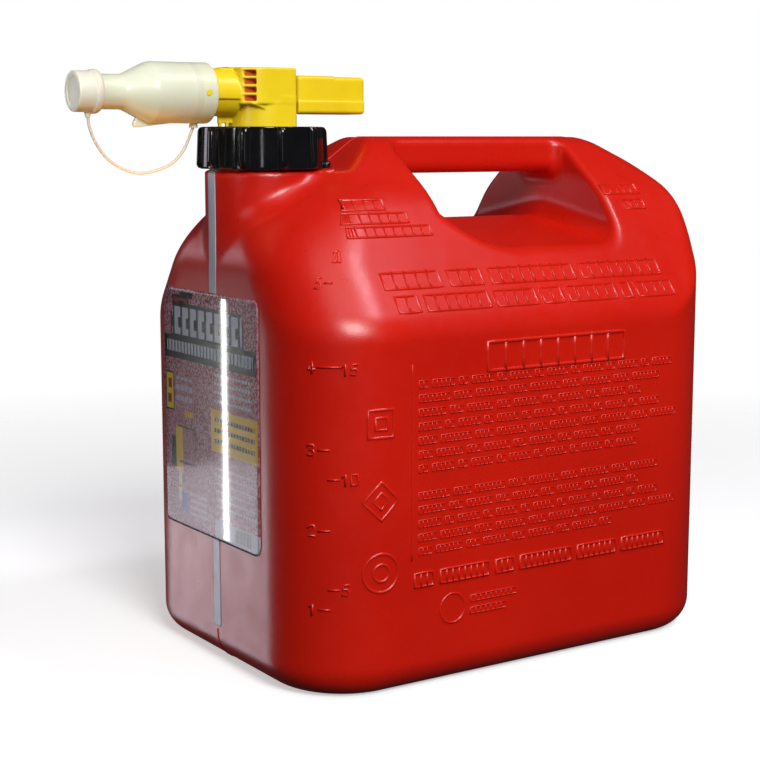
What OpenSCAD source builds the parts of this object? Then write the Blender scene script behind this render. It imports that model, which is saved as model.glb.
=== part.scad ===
// Moulded fuel can with a push-button pouring nozzle.
// Millimetres. +X runs from the spout to the back, +Y across, +Z up.
// The origin is the centre of the base, on the ground.

/* [Tank] */
// length of the moulded body along X
body_length = 336; // [250:1:420]
// width of the moulded body along Y
body_width = 242; // [180:1:300]
// height of the top of the handle above the ground
handle_top = 342; // [280:1:400]
// height where the side walls turn inwards
bend_height = 228; // [180:1:260]
// height of the flat ledge behind the neck
ledge_height = 321; // [280:1:330]
// radius of the four upright corners, seen from above
corner_radius = 56; // [20:1:70]
// radius of the edge round the base
base_radius = 20; // [8:1:30]
// moulded wall thickness
wall = 3; // [2:0.5:5]
// half width of the handle bar
bar_half_width = 19; // [14:0.5:24]
// underside of the handle bar above the ground
bar_bottom = 318; // [300:1:325]
// floor of the finger gap above the ground, on the centre line
gap_floor = 287; // [270:1:300]

/* [Neck] */
// distance of the neck axis from the centre of the base
neck_offset = 131; // [100:1:140]
// outside radius of the column under the collar
column_radius = 37.4; // [34:0.1:42]
// outside radius of the threaded neck
neck_radius = 34; // [30:0.5:38]
// inside radius of the neck
neck_bore_radius = 30; // [26:0.5:33]
// height of the neck rim above the ground
rim_height = 341; // [335:0.5:350]
// rise of the neck thread in one turn
thread_pitch = 6; // [4:0.5:8]

/* [Collar] */
// outside radius of the collar at its top
collar_top_radius = 38.8; // [36:0.1:42]
// outside radius of the collar at its bottom
collar_bottom_radius = 40; // [37:0.1:44]
// height of the top of the collar above the ground
collar_top = 348.4; // [344:0.1:352]
// number of grip ribs round the collar
rib_count = 10; // [6:1:16]

/* [Nozzle] */
// height of the spout axis above the ground
axis_height = 369; // [360:0.5:380]
// outside radius of the upright nozzle socket
socket_radius = 22.1; // [18:0.1:25]
// half width of the nozzle box along Y
box_half_width = 22; // [16:0.5:26]
// outside radius of the barrel between the box and the spout
barrel_radius = 14.5; // [12:0.5:16]

/* [Spout] */
// outside radius of the wide rear part of the spout
spout_radius = 18.7; // [16:0.1:22]
// outside radius of the narrow spout tip
tip_radius = 10.6; // [8:0.1:13]
// distance of the spout tip from the centre of the base
spout_reach = 257; // [240:1:280]
// outside radius of the dust cap
cap_radius = 12.3; // [11.5:0.1:15]

/* [Button] */
// half width of the thumb button
button_half_width = 12.3; // [10:0.1:14]
// travel of the thumb button when it is pressed
button_travel = 10; // [6:0.5:11]

/* [Small parts] */
// diameter of the tether cord
tether_diameter = 1.8; // [1.4:0.1:2.5]
// thickness of the front label sheet
label_thickness = 0.5; // [0.3:0.1:1]
// width of the see-through level stripe
stripe_width = 9; // [6:0.5:12]

/* [Hidden] */
$fn = 64;
front_x = -body_length / 2;
back_x = body_length / 2;
half_w = body_width / 2;
neck_x = -neck_offset;
shoulder_h = ledge_height - 16;
slot_left = -45;
slot_right = 98;
box_front = -148;
box_back = -118;
seat_x = -187;
button_front = -111;
button_back = -60;
button_low = 356.5;
button_high = 381;

// names of all pieces, in assembly order

// ---- shared shapes ----

// outline seen from the side, shrunk by t
module side_outline(t) {
    b = base_radius;
    offset(delta = -t)
        polygon([[front_x + b, 0], [front_x + b / 2, 0.134 * b], [front_x + 0.134 * b, b / 2], [front_x, b],
            [front_x, bend_height + 28], [front_x + 2, bend_height + 43], [front_x + 12, bend_height + 63],
            [front_x + 25, shoulder_h], [front_x + 50, ledge_height], [-90, ledge_height],
            [-61, handle_top - 1], [-58, handle_top], [back_x - 45, handle_top],
            [back_x - 42, handle_top - 1], [back_x - 11, ledge_height - 2.3], [back_x - 3, ledge_height - 10],
            [back_x, ledge_height - 22], [back_x, b], [back_x - 0.134 * b, b / 2],
            [back_x - b / 2, 0.134 * b], [back_x - b, 0]]);
}

// outline seen from the front, shrunk by t
module front_outline(t) {
    b = base_radius;
    half = [[half_w - b, 0], [half_w - b / 2, 0.134 * b], [half_w - 0.134 * b, b / 2], [half_w, b],
        [half_w, bend_height - 8], [half_w - 1.2, bend_height], [half_w - 4.7, bend_height + 7],
        [half_w - 55, shoulder_h], [half_w - 96, handle_top - 5], [half_w - 103, handle_top]];
    last = len(half) - 1;
    offset(delta = -t)
        polygon(concat(half, [for (i = [0:last]) [-half[last - i][0], half[last - i][1]]]));
}

// outline seen from above, shrunk by t
module top_outline(t) {
    r = corner_radius;
    x = body_length / 2;
    square([2 * (x - r), 2 * (half_w - t)], center = true);
    square([2 * (x - t), 2 * (half_w - r)], center = true);
    for (i = [-1, 1])
        for (j = [-1, 1])
            translate([i * (x - r), j * (half_w - r)])
                circle(r = r - t);
}

// the tank body and handle ridge as one block, shrunk by t all round
module body_block(t) {
    difference() {
        intersection() {
            linear_extrude(handle_top + 1)
                top_outline(t);
            translate([0, half_w + 1, 0])
                rotate([90, 0, 0])
                    linear_extrude(body_width + 2)
                        side_outline(t);
            translate([front_x - 1, 0, 0])
                rotate([90, 0, 90])
                    linear_extrude(body_length + 2)
                        front_outline(t);
        }
        // sloping facets on the two upper front corners
        for (turn = [135, -135])
            rotate([0, -35.7, turn])
                translate([280 - t, -200, -200])
                    cube([100, 400, 400]);
    }
}

// outline of the handle recess seen from the side, grown by g
module recess_side(g) {
    offset(r = g + 9)
        offset(delta = -9)
            polygon([[slot_left - 7, 350], [slot_left, bar_bottom], [slot_left + 3, 294],
                [slot_left + 31, 271], [slot_left + 52, 252], [slot_right + 2, 252],
                [slot_right - 3, 275], [slot_right - 2, gap_floor], [slot_right, bar_bottom],
                [slot_right + 4, 350]]);
}

// outline of the handle recess seen from the front, grown by g
module recess_front(g) {
    difference() {
        polygon([[-140, 258 - g], [0, gap_floor - g], [140, 258 - g], [140, 360], [-140, 360]]);
        offset(r = 6)
            translate([-bar_half_width + g + 6, bar_bottom + g + 6])
                square([2 * (bar_half_width - g - 6), 60]);
    }
}

// the recess and finger gap under the handle bar, grown by g
module handle_recess(g) {
    intersection() {
        translate([0, 160, 0])
            rotate([90, 0, 0])
                linear_extrude(320)
                    recess_side(g);
        translate([-120, 0, 0])
            rotate([90, 0, 90])
                linear_extrude(300)
                    recess_front(g);
    }
}

// a turned ring lying along X with its low end at x
module x_tube(x, len, r, bore, z = axis_height) {
    translate([x, 0, z])
        rotate([0, 90, 0])
            difference() {
                cylinder(h = len, r = r);
                if (bore > 0)
                    translate([0, 0, -1])
                        cylinder(h = len + 2, r = bore);
            }
}

// joins rings of n points each into one closed skin
module skin(points, rings, n) {
    side = [for (i = [0:rings - 2]) for (j = [0:n - 1])
        [i * n + j, i * n + (j + 1) % n, (i + 1) * n + (j + 1) % n, (i + 1) * n + j]];
    first = [for (j = [n - 1:-1:0]) j];
    last = [for (j = [0:n - 1]) (rings - 1) * n + j];
    polyhedron(points = points, faces = concat(side, [first], [last]), convexity = 8);
}

// screw ridge round the Z axis, rising one pitch per turn, between radius a and a larger radius b
module thread_ridge(a, b, start, turns, low, half_a, half_b) {
    steps = floor(turns * 24);
    pts = [for (i = [0:steps])
        let (t = start + i * 15, z = low + i * 15 / 360 * thread_pitch)
        for (q = [[a, -half_a], [b, -half_b], [b, half_b], [a, half_a]])
            [q[0] * cos(t), q[0] * sin(t), z + q[1]]];
    skin(pts, steps + 1, 4);
}

// ---- tank body ----

// hollow blow-moulded tank with neck, thread and one-piece handle
module tank() {
    color([0.75, 0.06, 0.04])
        difference() {
            union() {
                body_block(0);
                translate([neck_x, 0, 250])
                    cylinder(h = ledge_height + 0.5 - 250, r = column_radius);
                translate([neck_x, 0, 300])
                    cylinder(h = rim_height - 300, r = neck_radius);
                translate([neck_x, 0, 0])
                    thread_ridge(neck_radius - 1, neck_radius + 2, 0, 1.5, 327, 1.5, 0.7);
                // tooth that the collar lug clicks over
                translate([neck_x, 0, 0])
                    rotate([0, 0, -38])
                        translate([34, 1.5, ledge_height])
                            rotate([90, 0, 0])
                                intersection() {
                                    cylinder(h = 3, r = 12);
                                    translate([0, -14, -1])
                                        cube([14, 14, 6]);
                                }
            }
            handle_recess(0);
            difference() {
                union() {
                    body_block(wall);
                    translate([neck_x, 0, 260])
                        cylinder(h = ledge_height - 8 - 260, r = neck_radius - 0.6);
                }
                handle_recess(wall);
            }
            translate([neck_x, 0, 270])
                cylinder(h = 90, r = neck_bore_radius);
            translate([front_x - 1, -stripe_width / 2, 24])
                cube([2.5, stripe_width, ledge_height - 3 - 24]);
        }
}

// see-through stripe moulded into the front wall to show the fuel level
module view_stripe() {
    color([0.72, 0.74, 0.82])
        intersection() {
            translate([front_x - 1, -stripe_width / 2, 24])
                cube([2.5, stripe_width, ledge_height - 3 - 24]);
            union() {
                translate([front_x, -20, 0])
                    cube([10, 40, 255]);
                translate([neck_x, 0, 254])
                    cylinder(h = 80, r = column_radius);
            }
        }
}

// printed sheet stuck on the front face
module front_label() {
    color([0.7, 0.55, 0.58])
        translate([front_x, 0, 82])
            rotate([90, 0, -90])
                linear_extrude(label_thickness)
                    translate([-64, 0])
                        offset(r = 6)
                            translate([6, 6])
                                square([116, 148]);
}

// ---- nozzle body ----

// flat rubber ring between the neck rim and the nozzle flange
module neck_gasket() {
    color([0.08, 0.08, 0.08])
        translate([neck_x, 0, rim_height])
            difference() {
                cylinder(h = 1.8, r = 33.4);
                translate([0, 0, -1])
                    cylinder(h = 4, r = neck_bore_radius);
            }
}

// moulded nozzle body: flange, upright socket, valve box and barrel
module nozzle_body() {
    flange_z = rim_height + 1.8;
    color([0.95, 0.78, 0.02])
        difference() {
            union() {
                translate([neck_x, 0, flange_z])
                    cylinder(h = 3, r = 33.4);
                translate([neck_x, 0, flange_z - 10])
                    cylinder(h = 10.5, r = 29.4);
                translate([neck_x, 0, flange_z])
                    cylinder(h = 20.5, r = socket_radius);
                translate([box_front, -box_half_width, axis_height - 7])
                    cube([box_back - box_front, 2 * box_half_width, 23]);
                x_tube(-169, 169 + box_front + 2, barrel_radius, 0);
                x_tube(seat_x, 18.5, 16.3, 0);
                // small boss under the vent plug
                translate([-157, 0, axis_height])
                    cylinder(h = 16, r = 4.6);
                // upright locating fin under the barrel
                translate([-166, -1, 349])
                    cube([16, 2, 12]);
                // snap bosses that hold the spout
                translate([-178, 19.2, axis_height])
                    rotate([90, 0, 0])
                        cylinder(h = 38.4, r = 2);
            }
            // fuel way up the socket
            translate([neck_x, 0, flange_z - 11])
                cylinder(h = 23, r = 17);
            translate([-146, -12, flange_z + 10])
                cube([17, 24, 26]);
            x_tube(seat_x - 1, 43, 10.5, 0);
            // pocket the button slides in
            translate([-122, -13.4, button_low - 0.6])
                cube([30, 26.8, button_high - button_low + 1.2]);
            // stem hole and gland seat
            x_tube(-130, 10, 2.3, 0);
            x_tube(-130, 5, 5, 0);
            // groove for the seal ring
            x_tube(-184, 3, 18, 14.8);
            // vent way drilled along the top of the barrel
            x_tube(seat_x - 1, 42, 1.7, 0, axis_height + 12.4);
            // seat of the vent plug
            translate([-157, 0, axis_height + 14.3])
                cylinder(h = 5, r = 3.6);
            // cored slots in the front of the box
            for (i = [0:3])
                for (s = [-1, 1])
                    translate([box_front - 1, s * 17.6 - 2.3, axis_height - 4.4 + i * 5.3])
                        cube([5, 4.6, 3.4]);
        }
}

// ---- collar ----

// black screw collar with grip ribs, inside thread and a locking lug
module collar() {
    low = ledge_height + 1;
    color([0.03, 0.03, 0.03])
        union() {
            difference() {
                union() {
                    translate([neck_x, 0, low])
                        cylinder(h = collar_top - 1.6 - low, r1 = collar_bottom_radius,
                            r2 = collar_top_radius);
                    translate([neck_x, 0, collar_top - 1.6])
                        cylinder(h = 1.6, r1 = collar_top_radius, r2 = collar_top_radius - 1.5);
                    for (i = [0:rib_count - 1])
                        translate([neck_x, 0, 0])
                            rotate([0, 0, i * 360 / rib_count + 8])
                                translate([collar_top_radius - 0.2, 0, low + 0.5])
                                    cylinder(h = collar_top - 3 - low, r = 2.2, $fn = 24);
                    translate([neck_x, 0, 0])
                        rotate([0, 0, -38])
                            translate([collar_top_radius - 1, -2, low])
                                cube([5, 4, 4.5]);
                }
                translate([neck_x, 0, low - 1])
                    cylinder(h = rim_height + 5 - low + 1, r = 36.9);
                translate([neck_x, 0, low])
                    cylinder(h = 40, r = socket_radius + 0.5);
            }
            translate([neck_x, 0, 0])
                thread_ridge(34.5, 37.5, 0, 1.5, 324, 0.7, 1.5);
        }
}

// ---- nozzle small parts ----

// push-in plug that closes the vent drilling
module barrel_plug() {
    color([0.25, 0.12, 0.04])
        translate([-157, 0, axis_height + 14.3])
            cylinder(h = 3.2, r1 = 3.6, r2 = 3.2);
}

// rubber ring between barrel and spout
module barrel_seal() {
    color([0.3, 0.3, 0.32])
        x_tube(-183.8, 2.6, 16.5, 14.8);
}

// turned ring pressed in the barrel mouth that the valve closes on
module valve_seat() {
    color([0.85, 0.85, 0.85])
        x_tube(seat_x, 4, 10.5, 7);
}

// rubber ring that wipes the stem where it enters the fuel way
module stem_gland() {
    color([0.08, 0.08, 0.08])
        x_tube(-129, 4, 5, 2.1);
}

// thin tube that lets air in while the can pours
module vent_tube() {
    color([0.85, 0.8, 0.6])
        x_tube(-211, 31, 1.7, 1, axis_height + 12.4);
}

// see-through tapered spout with a hanging hook
module spout() {
    tip = -spout_reach;
    color([0.92, 0.9, 0.72])
        difference() {
            union() {
                translate([tip, 0, axis_height])
                    rotate([0, 90, 0])
                        rotate_extrude()
                            polygon([[0, 0], [tip_radius, 0], [tip_radius, 29], [12, 31.5],
                                [spout_radius - 1, 43], [spout_radius, 46], [spout_radius, 84.8],
                                [spout_radius - 0.7, 85.5], [0, 85.5]]);
                translate([0, 1.5, 0])
                    rotate([90, 0, 0])
                        linear_extrude(3)
                            polygon([[-196, 352], [-198, 349.6], [-219, 347.6], [-221, 348.4],
                                [-221.5, 350.4], [-217, 357], [-196, 357]]);
                translate([-180, 0, 349.2])
                    cylinder(h = 3, r = 2.4);
            }
            translate([tip - 1, 0, axis_height])
                rotate([0, 90, 0])
                    rotate_extrude()
                        polygon([[0, 0], [8.4, 0], [8.4, 31], [9.8, 33], [16.5, 46],
                            [16.5, 90], [0, 90]]);
            translate([-178, 25, axis_height])
                rotate([90, 0, 0])
                    cylinder(h = 50, r = 2.1);
        }
}

// small eye under the spout that the tether hangs from
module tether_ring() {
    color([0.9, 0.88, 0.72])
        translate([-180, 0, 347.6])
            difference() {
                cylinder(h = 1.6, r = 2.8);
                translate([0, 0, -1])
                    cylinder(h = 2, r = tether_diameter / 2 + 0.02);
            }
}

// route of the tether from the spout down and forward to the cap
tether_route = [[-180, 348.5], [-182, 344], [-187, 334], [-195, 326], [-206, 321.5],
    [-218, 320], [-229, 323], [-239, 329.5], [-246, 339], [-249.5, 348], [-250.5, 355.2]];

// point at parameter u on a smooth line through the route
function on_route(u) =
    let (n = len(tether_route) - 1, i = min(floor(u), n - 1), f = u - i,
        p0 = tether_route[max(i - 1, 0)], p1 = tether_route[i],
        p2 = tether_route[i + 1], p3 = tether_route[min(i + 2, n)])
    0.5 * (2 * p1 + (p2 - p0) * f + (2 * p0 - 5 * p1 + 4 * p2 - p3) * f * f
        + (3 * p1 - p0 - 3 * p2 + p3) * f * f * f);

// thin moulded cord that keeps the dust cap on the spout
module cap_tether() {
    rings = 41;
    n = len(tether_route) - 1;
    pts = [for (i = [0:rings - 1])
        let (u = n * i / (rings - 1), p = on_route(u),
            d = on_route(min(u + 0.02, n)) - on_route(max(u - 0.02, 0)),
            s = norm(d), side = [-d[1] / s, d[0] / s])
        for (j = [0:7])
            let (a = j * 45 + 22.5, q = side * cos(a) * tether_diameter / 2)
            [p[0] + q[0], sin(a) * tether_diameter / 2, p[1] + q[1]]];
    color([0.9, 0.9, 0.8])
        skin(pts, rings, 8);
}

// ---- button body ----

// metal rod that joins the button to the valve
module valve_stem() {
    color([0.7, 0.7, 0.72])
        x_tube(-194.5, 128.5, 2, 0);
}

// moulded valve disc in front of the seat
module poppet() {
    color([0.85, 0.85, 0.85])
        translate([-191.6, 0, axis_height])
            rotate([0, 90, 0])
                difference() {
                    cylinder(h = 3, r1 = 7, r2 = 9.3);
                    translate([0, 0, -1])
                        cylinder(h = 6, r = 2);
                }
}

// rubber washer on the face of the valve disc
module poppet_seal() {
    color([0.08, 0.08, 0.08])
        x_tube(-188.6, 1.5, 8.8, 2);
}

// spring clip that holds the valve disc on the stem
module poppet_clip() {
    color([0.6, 0.6, 0.62])
        x_tube(-192.6, 1, 4, 2);
}

// washer that the spring pushes on inside the button
module spring_washer() {
    color([0.7, 0.7, 0.72])
        x_tube(-76.2, 1.2, 7, 2);
}

// coil spring that pushes the button back out
module return_spring() {
    turns = 7;
    rings = turns * 11 + 1;
    wire = 0.7;
    coil = 5.6;
    x0 = -121;
    span = 43.8;
    pts = [for (i = [0:rings - 1])
        let (a = i * 360 * turns / (rings - 1), x = x0 + span * i / (rings - 1))
        for (j = [0:5])
            let (b = j * 60, r = coil + wire * cos(b))
            [x + wire * sin(b), r * cos(a), axis_height + r * sin(a)]];
    color([0.6, 0.6, 0.62])
        skin(pts, rings, 6);
}

// long hollow push button behind the nozzle box
module thumb_button() {
    w = button_half_width;
    color([0.95, 0.78, 0.02])
        difference() {
            translate([button_front, 0, 0])
                rotate([90, 0, 90])
                    linear_extrude(button_back - button_front)
                        union() {
                            translate([-w, button_low])
                                offset(r = 1)
                                    translate([1, 1])
                                        square([2 * w - 2, 6.5]);
                            translate([-w + 0.8, button_low + 7])
                                square([2 * w - 1.6, 8]);
                            translate([-w + 0.8, button_low + 10])
                                offset(r = 6)
                                    translate([6, 6])
                                        square([2 * w - 13.6, 2.5]);
                        }
            x_tube(button_front - 1, 37, 8, 0);
            x_tube(button_front + 1, 44.5, 2, 0);
        }
}

// ---- cap body ----

// push-on dust cap over the spout tip
module dust_cap() {
    color([0.9, 0.9, 0.82])
        translate([-spout_reach - 3, 0, axis_height])
            rotate([0, 90, 0])
                difference() {
                    union() {
                        cylinder(h = 16, r = cap_radius);
                        translate([0, 0, 11.5])
                            cylinder(h = 3.5, r = cap_radius + 0.9);
                    }
                    translate([0, 0, 2.7])
                        cylinder(h = 20, r = tip_radius + 0.3);
                    translate([0, 0, -1])
                        cylinder(h = 2, r = 9);
                }
}

tank();
view_stripe();
front_label();
neck_gasket();
nozzle_body();
collar();
barrel_plug();
barrel_seal();
valve_seat();
stem_gland();
vent_tube();
spout();
tether_ring();
cap_tether();
valve_stem();
poppet();
poppet_seal();
poppet_clip();
spring_washer();
return_spring();
thumb_button();
dust_cap();
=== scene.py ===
import bpy
import math
import numpy as np
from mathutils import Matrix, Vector


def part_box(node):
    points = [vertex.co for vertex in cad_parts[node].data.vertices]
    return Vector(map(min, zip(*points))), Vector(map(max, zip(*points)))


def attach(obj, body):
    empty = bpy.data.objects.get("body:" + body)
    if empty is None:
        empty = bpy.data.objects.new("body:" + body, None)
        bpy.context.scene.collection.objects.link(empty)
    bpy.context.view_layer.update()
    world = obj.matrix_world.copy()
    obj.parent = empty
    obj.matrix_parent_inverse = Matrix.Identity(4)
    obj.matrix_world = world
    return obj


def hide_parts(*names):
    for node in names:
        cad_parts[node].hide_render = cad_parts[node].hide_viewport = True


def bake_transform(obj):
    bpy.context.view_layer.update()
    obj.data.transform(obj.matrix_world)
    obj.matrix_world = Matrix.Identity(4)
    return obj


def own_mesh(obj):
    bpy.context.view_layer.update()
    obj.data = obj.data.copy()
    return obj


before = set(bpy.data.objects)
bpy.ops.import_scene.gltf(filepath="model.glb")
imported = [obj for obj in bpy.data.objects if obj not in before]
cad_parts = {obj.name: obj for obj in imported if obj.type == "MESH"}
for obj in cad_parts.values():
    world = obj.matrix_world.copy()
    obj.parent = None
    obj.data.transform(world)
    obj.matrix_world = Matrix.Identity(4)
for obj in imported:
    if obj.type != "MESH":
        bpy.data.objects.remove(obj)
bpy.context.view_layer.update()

# ---------------------------------------------------------------- camera
# Eye level with the top of the handle, looking at the spout end and one long side of the can.
tank_low, tank_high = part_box("tank")
eye = Vector((-0.646, -0.921, tank_high.z))
heading = math.radians(56.69)
pitch = math.radians(-8.505)
look = Vector((math.cos(heading) * math.cos(pitch), math.sin(heading) * math.cos(pitch), math.sin(pitch)))
camera_data = bpy.data.cameras.new("camera")
camera_data.lens = 77.0
camera_data.sensor_width = 36.0
camera = bpy.data.objects.new("camera", camera_data)
camera.location = eye
camera.rotation_euler = look.to_track_quat("-Z", "Y").to_euler()
bpy.context.collection.objects.link(camera)
bpy.context.scene.camera = camera

# ---------------------------------------------------------------- tether
# A thin moulded strand of soft clear plastic, pinched in the eye under the spout at one end and moulded
# on the dust cap at the other. It hangs between them in one loose loop.
tether_route = [(-0.180, 0.3485), (-0.182, 0.344), (-0.187, 0.334), (-0.195, 0.326), (-0.206, 0.3215),
                (-0.218, 0.320), (-0.229, 0.323), (-0.239, 0.3295), (-0.246, 0.339), (-0.2495, 0.348),
                (-0.2505, 0.3552)]
tether_radius = 0.0009
tether_colour = (0.66, 0.62, 0.54)


def smooth_line(points, steps):
    """Points on a smooth curve through the given ones."""
    line = []
    last = len(points) - 1
    for i in range(steps + 1):
        u = last * i / steps
        k = min(int(u), last - 1)
        f = u - k
        a, b, c, d = (np.array(points[max(0, min(last, k + n))], float) for n in (-1, 0, 1, 2))
        line.append(0.5 * (2 * b + (c - a) * f + (2 * a - 5 * b + 4 * c - d) * f * f
                           + (3 * b - a - 3 * c + d) * f ** 3))
    return line


def make_mesh(name, points, faces, smooth=True):
    """An object from points and faces, shaded smooth unless told otherwise."""
    mesh = bpy.data.meshes.new(name)
    mesh.from_pydata([tuple(p) for p in points], [], [tuple(f) for f in faces])
    mesh.validate()
    if smooth:
        mesh.shade_smooth()
    piece = bpy.data.objects.new(name, mesh)
    bpy.context.collection.objects.link(piece)
    return piece


def tube(name, line, radius, sides=12):
    """A round tube along a line of points in the upright plane through the spout."""
    points = []
    faces = []
    for i, p in enumerate(line):
        along = np.array(line[min(i + 1, len(line) - 1)]) - np.array(line[max(i - 1, 0)])
        along = along / np.linalg.norm(along)
        across = np.array((0.0, 1.0, 0.0))
        up = np.cross(along, across)
        for j in range(sides):
            a = 2 * math.pi * j / sides
            points.append(np.array(p) + radius * (math.cos(a) * up + math.sin(a) * across))
    for i in range(len(line) - 1):
        for j in range(sides):
            k = (j + 1) % sides
            faces.append((i * sides + j, i * sides + k, (i + 1) * sides + k, (i + 1) * sides + j))
    faces.append(tuple(range(sides - 1, -1, -1)))
    faces.append(tuple(range((len(line) - 1) * sides, len(line) * sides)))
    return make_mesh(name, points, faces)


def shader_group(name, inputs, outputs):
    """An empty shader node group with the named sockets, and its input and output nodes."""
    group = bpy.data.node_groups.new(name, "ShaderNodeTree")
    for label, kind, value in inputs:
        socket = group.interface.new_socket(label, in_out="INPUT", socket_type="NodeSocket" + kind)
        socket.default_value = value
    for label, kind in outputs:
        group.interface.new_socket(label, in_out="OUTPUT", socket_type="NodeSocket" + kind)
    return group, group.nodes.new("NodeGroupInput"), group.nodes.new("NodeGroupOutput")


def noise(nodes, links, coords, scale, detail, rough=0.5):
    """A noise texture on the given coordinates. Scale is a number or an output socket."""
    texture = nodes.new("ShaderNodeTexNoise")
    texture.inputs["Detail"].default_value = detail
    texture.inputs["Roughness"].default_value = rough
    links.new(coords, texture.inputs["Vector"])
    if isinstance(scale, (int, float)):
        texture.inputs["Scale"].default_value = scale
    else:
        links.new(scale, texture.inputs["Scale"])
    return texture.outputs["Fac"]


def remap(nodes, links, value, low, high, to_low, to_high):
    """A clamped change of range, with numbers or sockets as the new ends."""
    node = nodes.new("ShaderNodeMapRange")
    links.new(value, node.inputs["Value"])
    for label, end in (("From Min", low), ("From Max", high), ("To Min", to_low), ("To Max", to_high)):
        if isinstance(end, (int, float)):
            node.inputs[label].default_value = end
        else:
            links.new(end, node.inputs[label])
    return node.outputs["Result"]


def blend_colours(nodes, links, mask, first, second):
    """Two colours, each a tuple or a socket, mixed by a mask."""
    node = nodes.new("ShaderNodeMix")
    node.data_type = "RGBA"
    links.new(mask, node.inputs[0])
    for socket, colour in ((node.inputs[6], first), (node.inputs[7], second)):
        if isinstance(colour, tuple):
            socket.default_value = (*colour, 1.0)
        else:
            links.new(colour, socket)
    return node.outputs[2]


def build_moulded_skin():
    """Moulded plastic: slow clouds of deeper colour, paler rubbed edges, uneven gloss, fine mould grain."""
    group, given, out = shader_group(
        "moulded_skin",
        [("Colour", "Color", (0.8, 0.8, 0.8, 1.0)), ("Deep Colour", "Color", (0.6, 0.6, 0.6, 1.0)),
         ("Rubbed Colour", "Color", (0.9, 0.9, 0.9, 1.0)), ("Cloud Scale", "Float", 20.0),
         ("Grain Scale", "Float", 1500.0), ("Edge Rub", "Float", 0.3),
         ("Gloss Low", "Float", 0.3), ("Gloss High", "Float", 0.45)],
        [("Colour", "Color"), ("Roughness", "Float"), ("Height", "Float")])
    nodes, links = group.nodes, group.links
    place = nodes.new("ShaderNodeTexCoord").outputs["Object"]
    clouds = noise(nodes, links, place, given.outputs["Cloud Scale"], 4.0)
    depth = remap(nodes, links, clouds, 0.35, 0.7, 0.0, 1.0)
    body = blend_colours(nodes, links, depth, given.outputs["Colour"], given.outputs["Deep Colour"])
    edges = nodes.new("ShaderNodeNewGeometry").outputs["Pointiness"]
    edge_mask = remap(nodes, links, edges, 0.52, 0.6, 0.0, given.outputs["Edge Rub"])
    links.new(blend_colours(nodes, links, edge_mask, body, given.outputs["Rubbed Colour"]),
              out.inputs["Colour"])
    smears = noise(nodes, links, place, 60.0, 5.0, 0.6)
    links.new(remap(nodes, links, smears, 0.3, 0.7, given.outputs["Gloss Low"], given.outputs["Gloss High"]),
              out.inputs["Roughness"])
    links.new(noise(nodes, links, place, given.outputs["Grain Scale"], 2.0), out.inputs["Height"])
    return group


moulded_skin = build_moulded_skin()


def moulded(name, colour, deep, rubbed, gloss=(0.3, 0.42), clouds=20.0, grain=1500.0, bump=0.06, rub=0.3):
    """A moulded plastic or rubber material, returned with its shader for what is set on that."""
    material = bpy.data.materials.new(name)
    material.use_nodes = True
    nodes, links = material.node_tree.nodes, material.node_tree.links
    shader = nodes["Principled BSDF"]
    skin = nodes.new("ShaderNodeGroup")
    skin.node_tree = moulded_skin
    for label, value in (("Colour", colour), ("Deep Colour", deep), ("Rubbed Colour", rubbed)):
        skin.inputs[label].default_value = (*value, 1.0)
    for label, value in (("Cloud Scale", clouds), ("Grain Scale", grain), ("Edge Rub", rub),
                         ("Gloss Low", gloss[0]), ("Gloss High", gloss[1])):
        skin.inputs[label].default_value = value
    relief = nodes.new("ShaderNodeBump")
    relief.inputs["Strength"].default_value = bump
    relief.inputs["Distance"].default_value = 0.0006
    links.new(skin.outputs["Height"], relief.inputs["Height"])
    links.new(skin.outputs["Colour"], shader.inputs["Base Color"])
    links.new(skin.outputs["Roughness"], shader.inputs["Roughness"])
    links.new(relief.outputs["Normal"], shader.inputs["Normal"])
    return material, shader


def finish_as(piece, material):
    """Gives a piece its material, in a material slot of its own."""
    piece.data.materials.clear()
    piece.data.materials.append(material)
    return piece


tether_line = [(p[0], 0.0, p[1]) for p in smooth_line(tether_route, 60)]
tether = tube("tether", tether_line, tether_radius)
tether_plastic, tether_shader = moulded("tether_plastic", tether_colour, (0.58, 0.54, 0.46),
                                        (0.74, 0.72, 0.66))
tether_shader.inputs["Subsurface Weight"].default_value = 0.4
tether_shader.inputs["Subsurface Scale"].default_value = 0.002
finish_as(tether, tether_plastic)
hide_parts("cap_tether")
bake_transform(tether)

# ---------------------------------------------------------------- tank
# The body of the can, blown in one piece from red polyethylene with its handle, neck column and finger gap.
# The walls lean in above a soft bend, and the two mould halves meet in a fine raised line round the middle.
tank_length = (tank_high.x - tank_low.x) * 1000
tank_width = (tank_high.y - tank_low.y) * 1000
half_length = tank_length / 2
half_breadth = tank_width / 2
corner = 56.0
base_edge = 20.0
bend_z = 228.5
shoulder_z = 305.0
ledge_z = 321.0
handle_z = 342.0
bar_half = 19.0
bar_under = 318.0
gap_floor = 287.0
gap_left = -45.0
gap_right = 97.0
neck_x = -131.0
column_radius = 37.0


def eased(t, k):
    """Nothing below zero and t above it, with a soft bend k either side."""
    return np.where(t < -k, 0.0, np.where(t > k, t, (t + k) ** 2 / (4 * k)))


def round_cut(a, b, r):
    """What is inside both a and b, with the edge between them rounded to r."""
    return np.minimum(-r, np.maximum(a, b)) + np.hypot(np.maximum(a + r, 0), np.maximum(b + r, 0))


def round_join(a, b, r):
    """What is inside a or b, with a fillet of r between them."""
    return -round_cut(-a, -b, r)


def tank_half_width(z):
    """Half the tank's width in millimetres at a height: straight walls, then two slopes that lean in."""
    return half_breadth - 0.7186 * eased(z - bend_z, 9.0) - 0.56 * eased(z - shoulder_z, 8.0)


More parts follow.
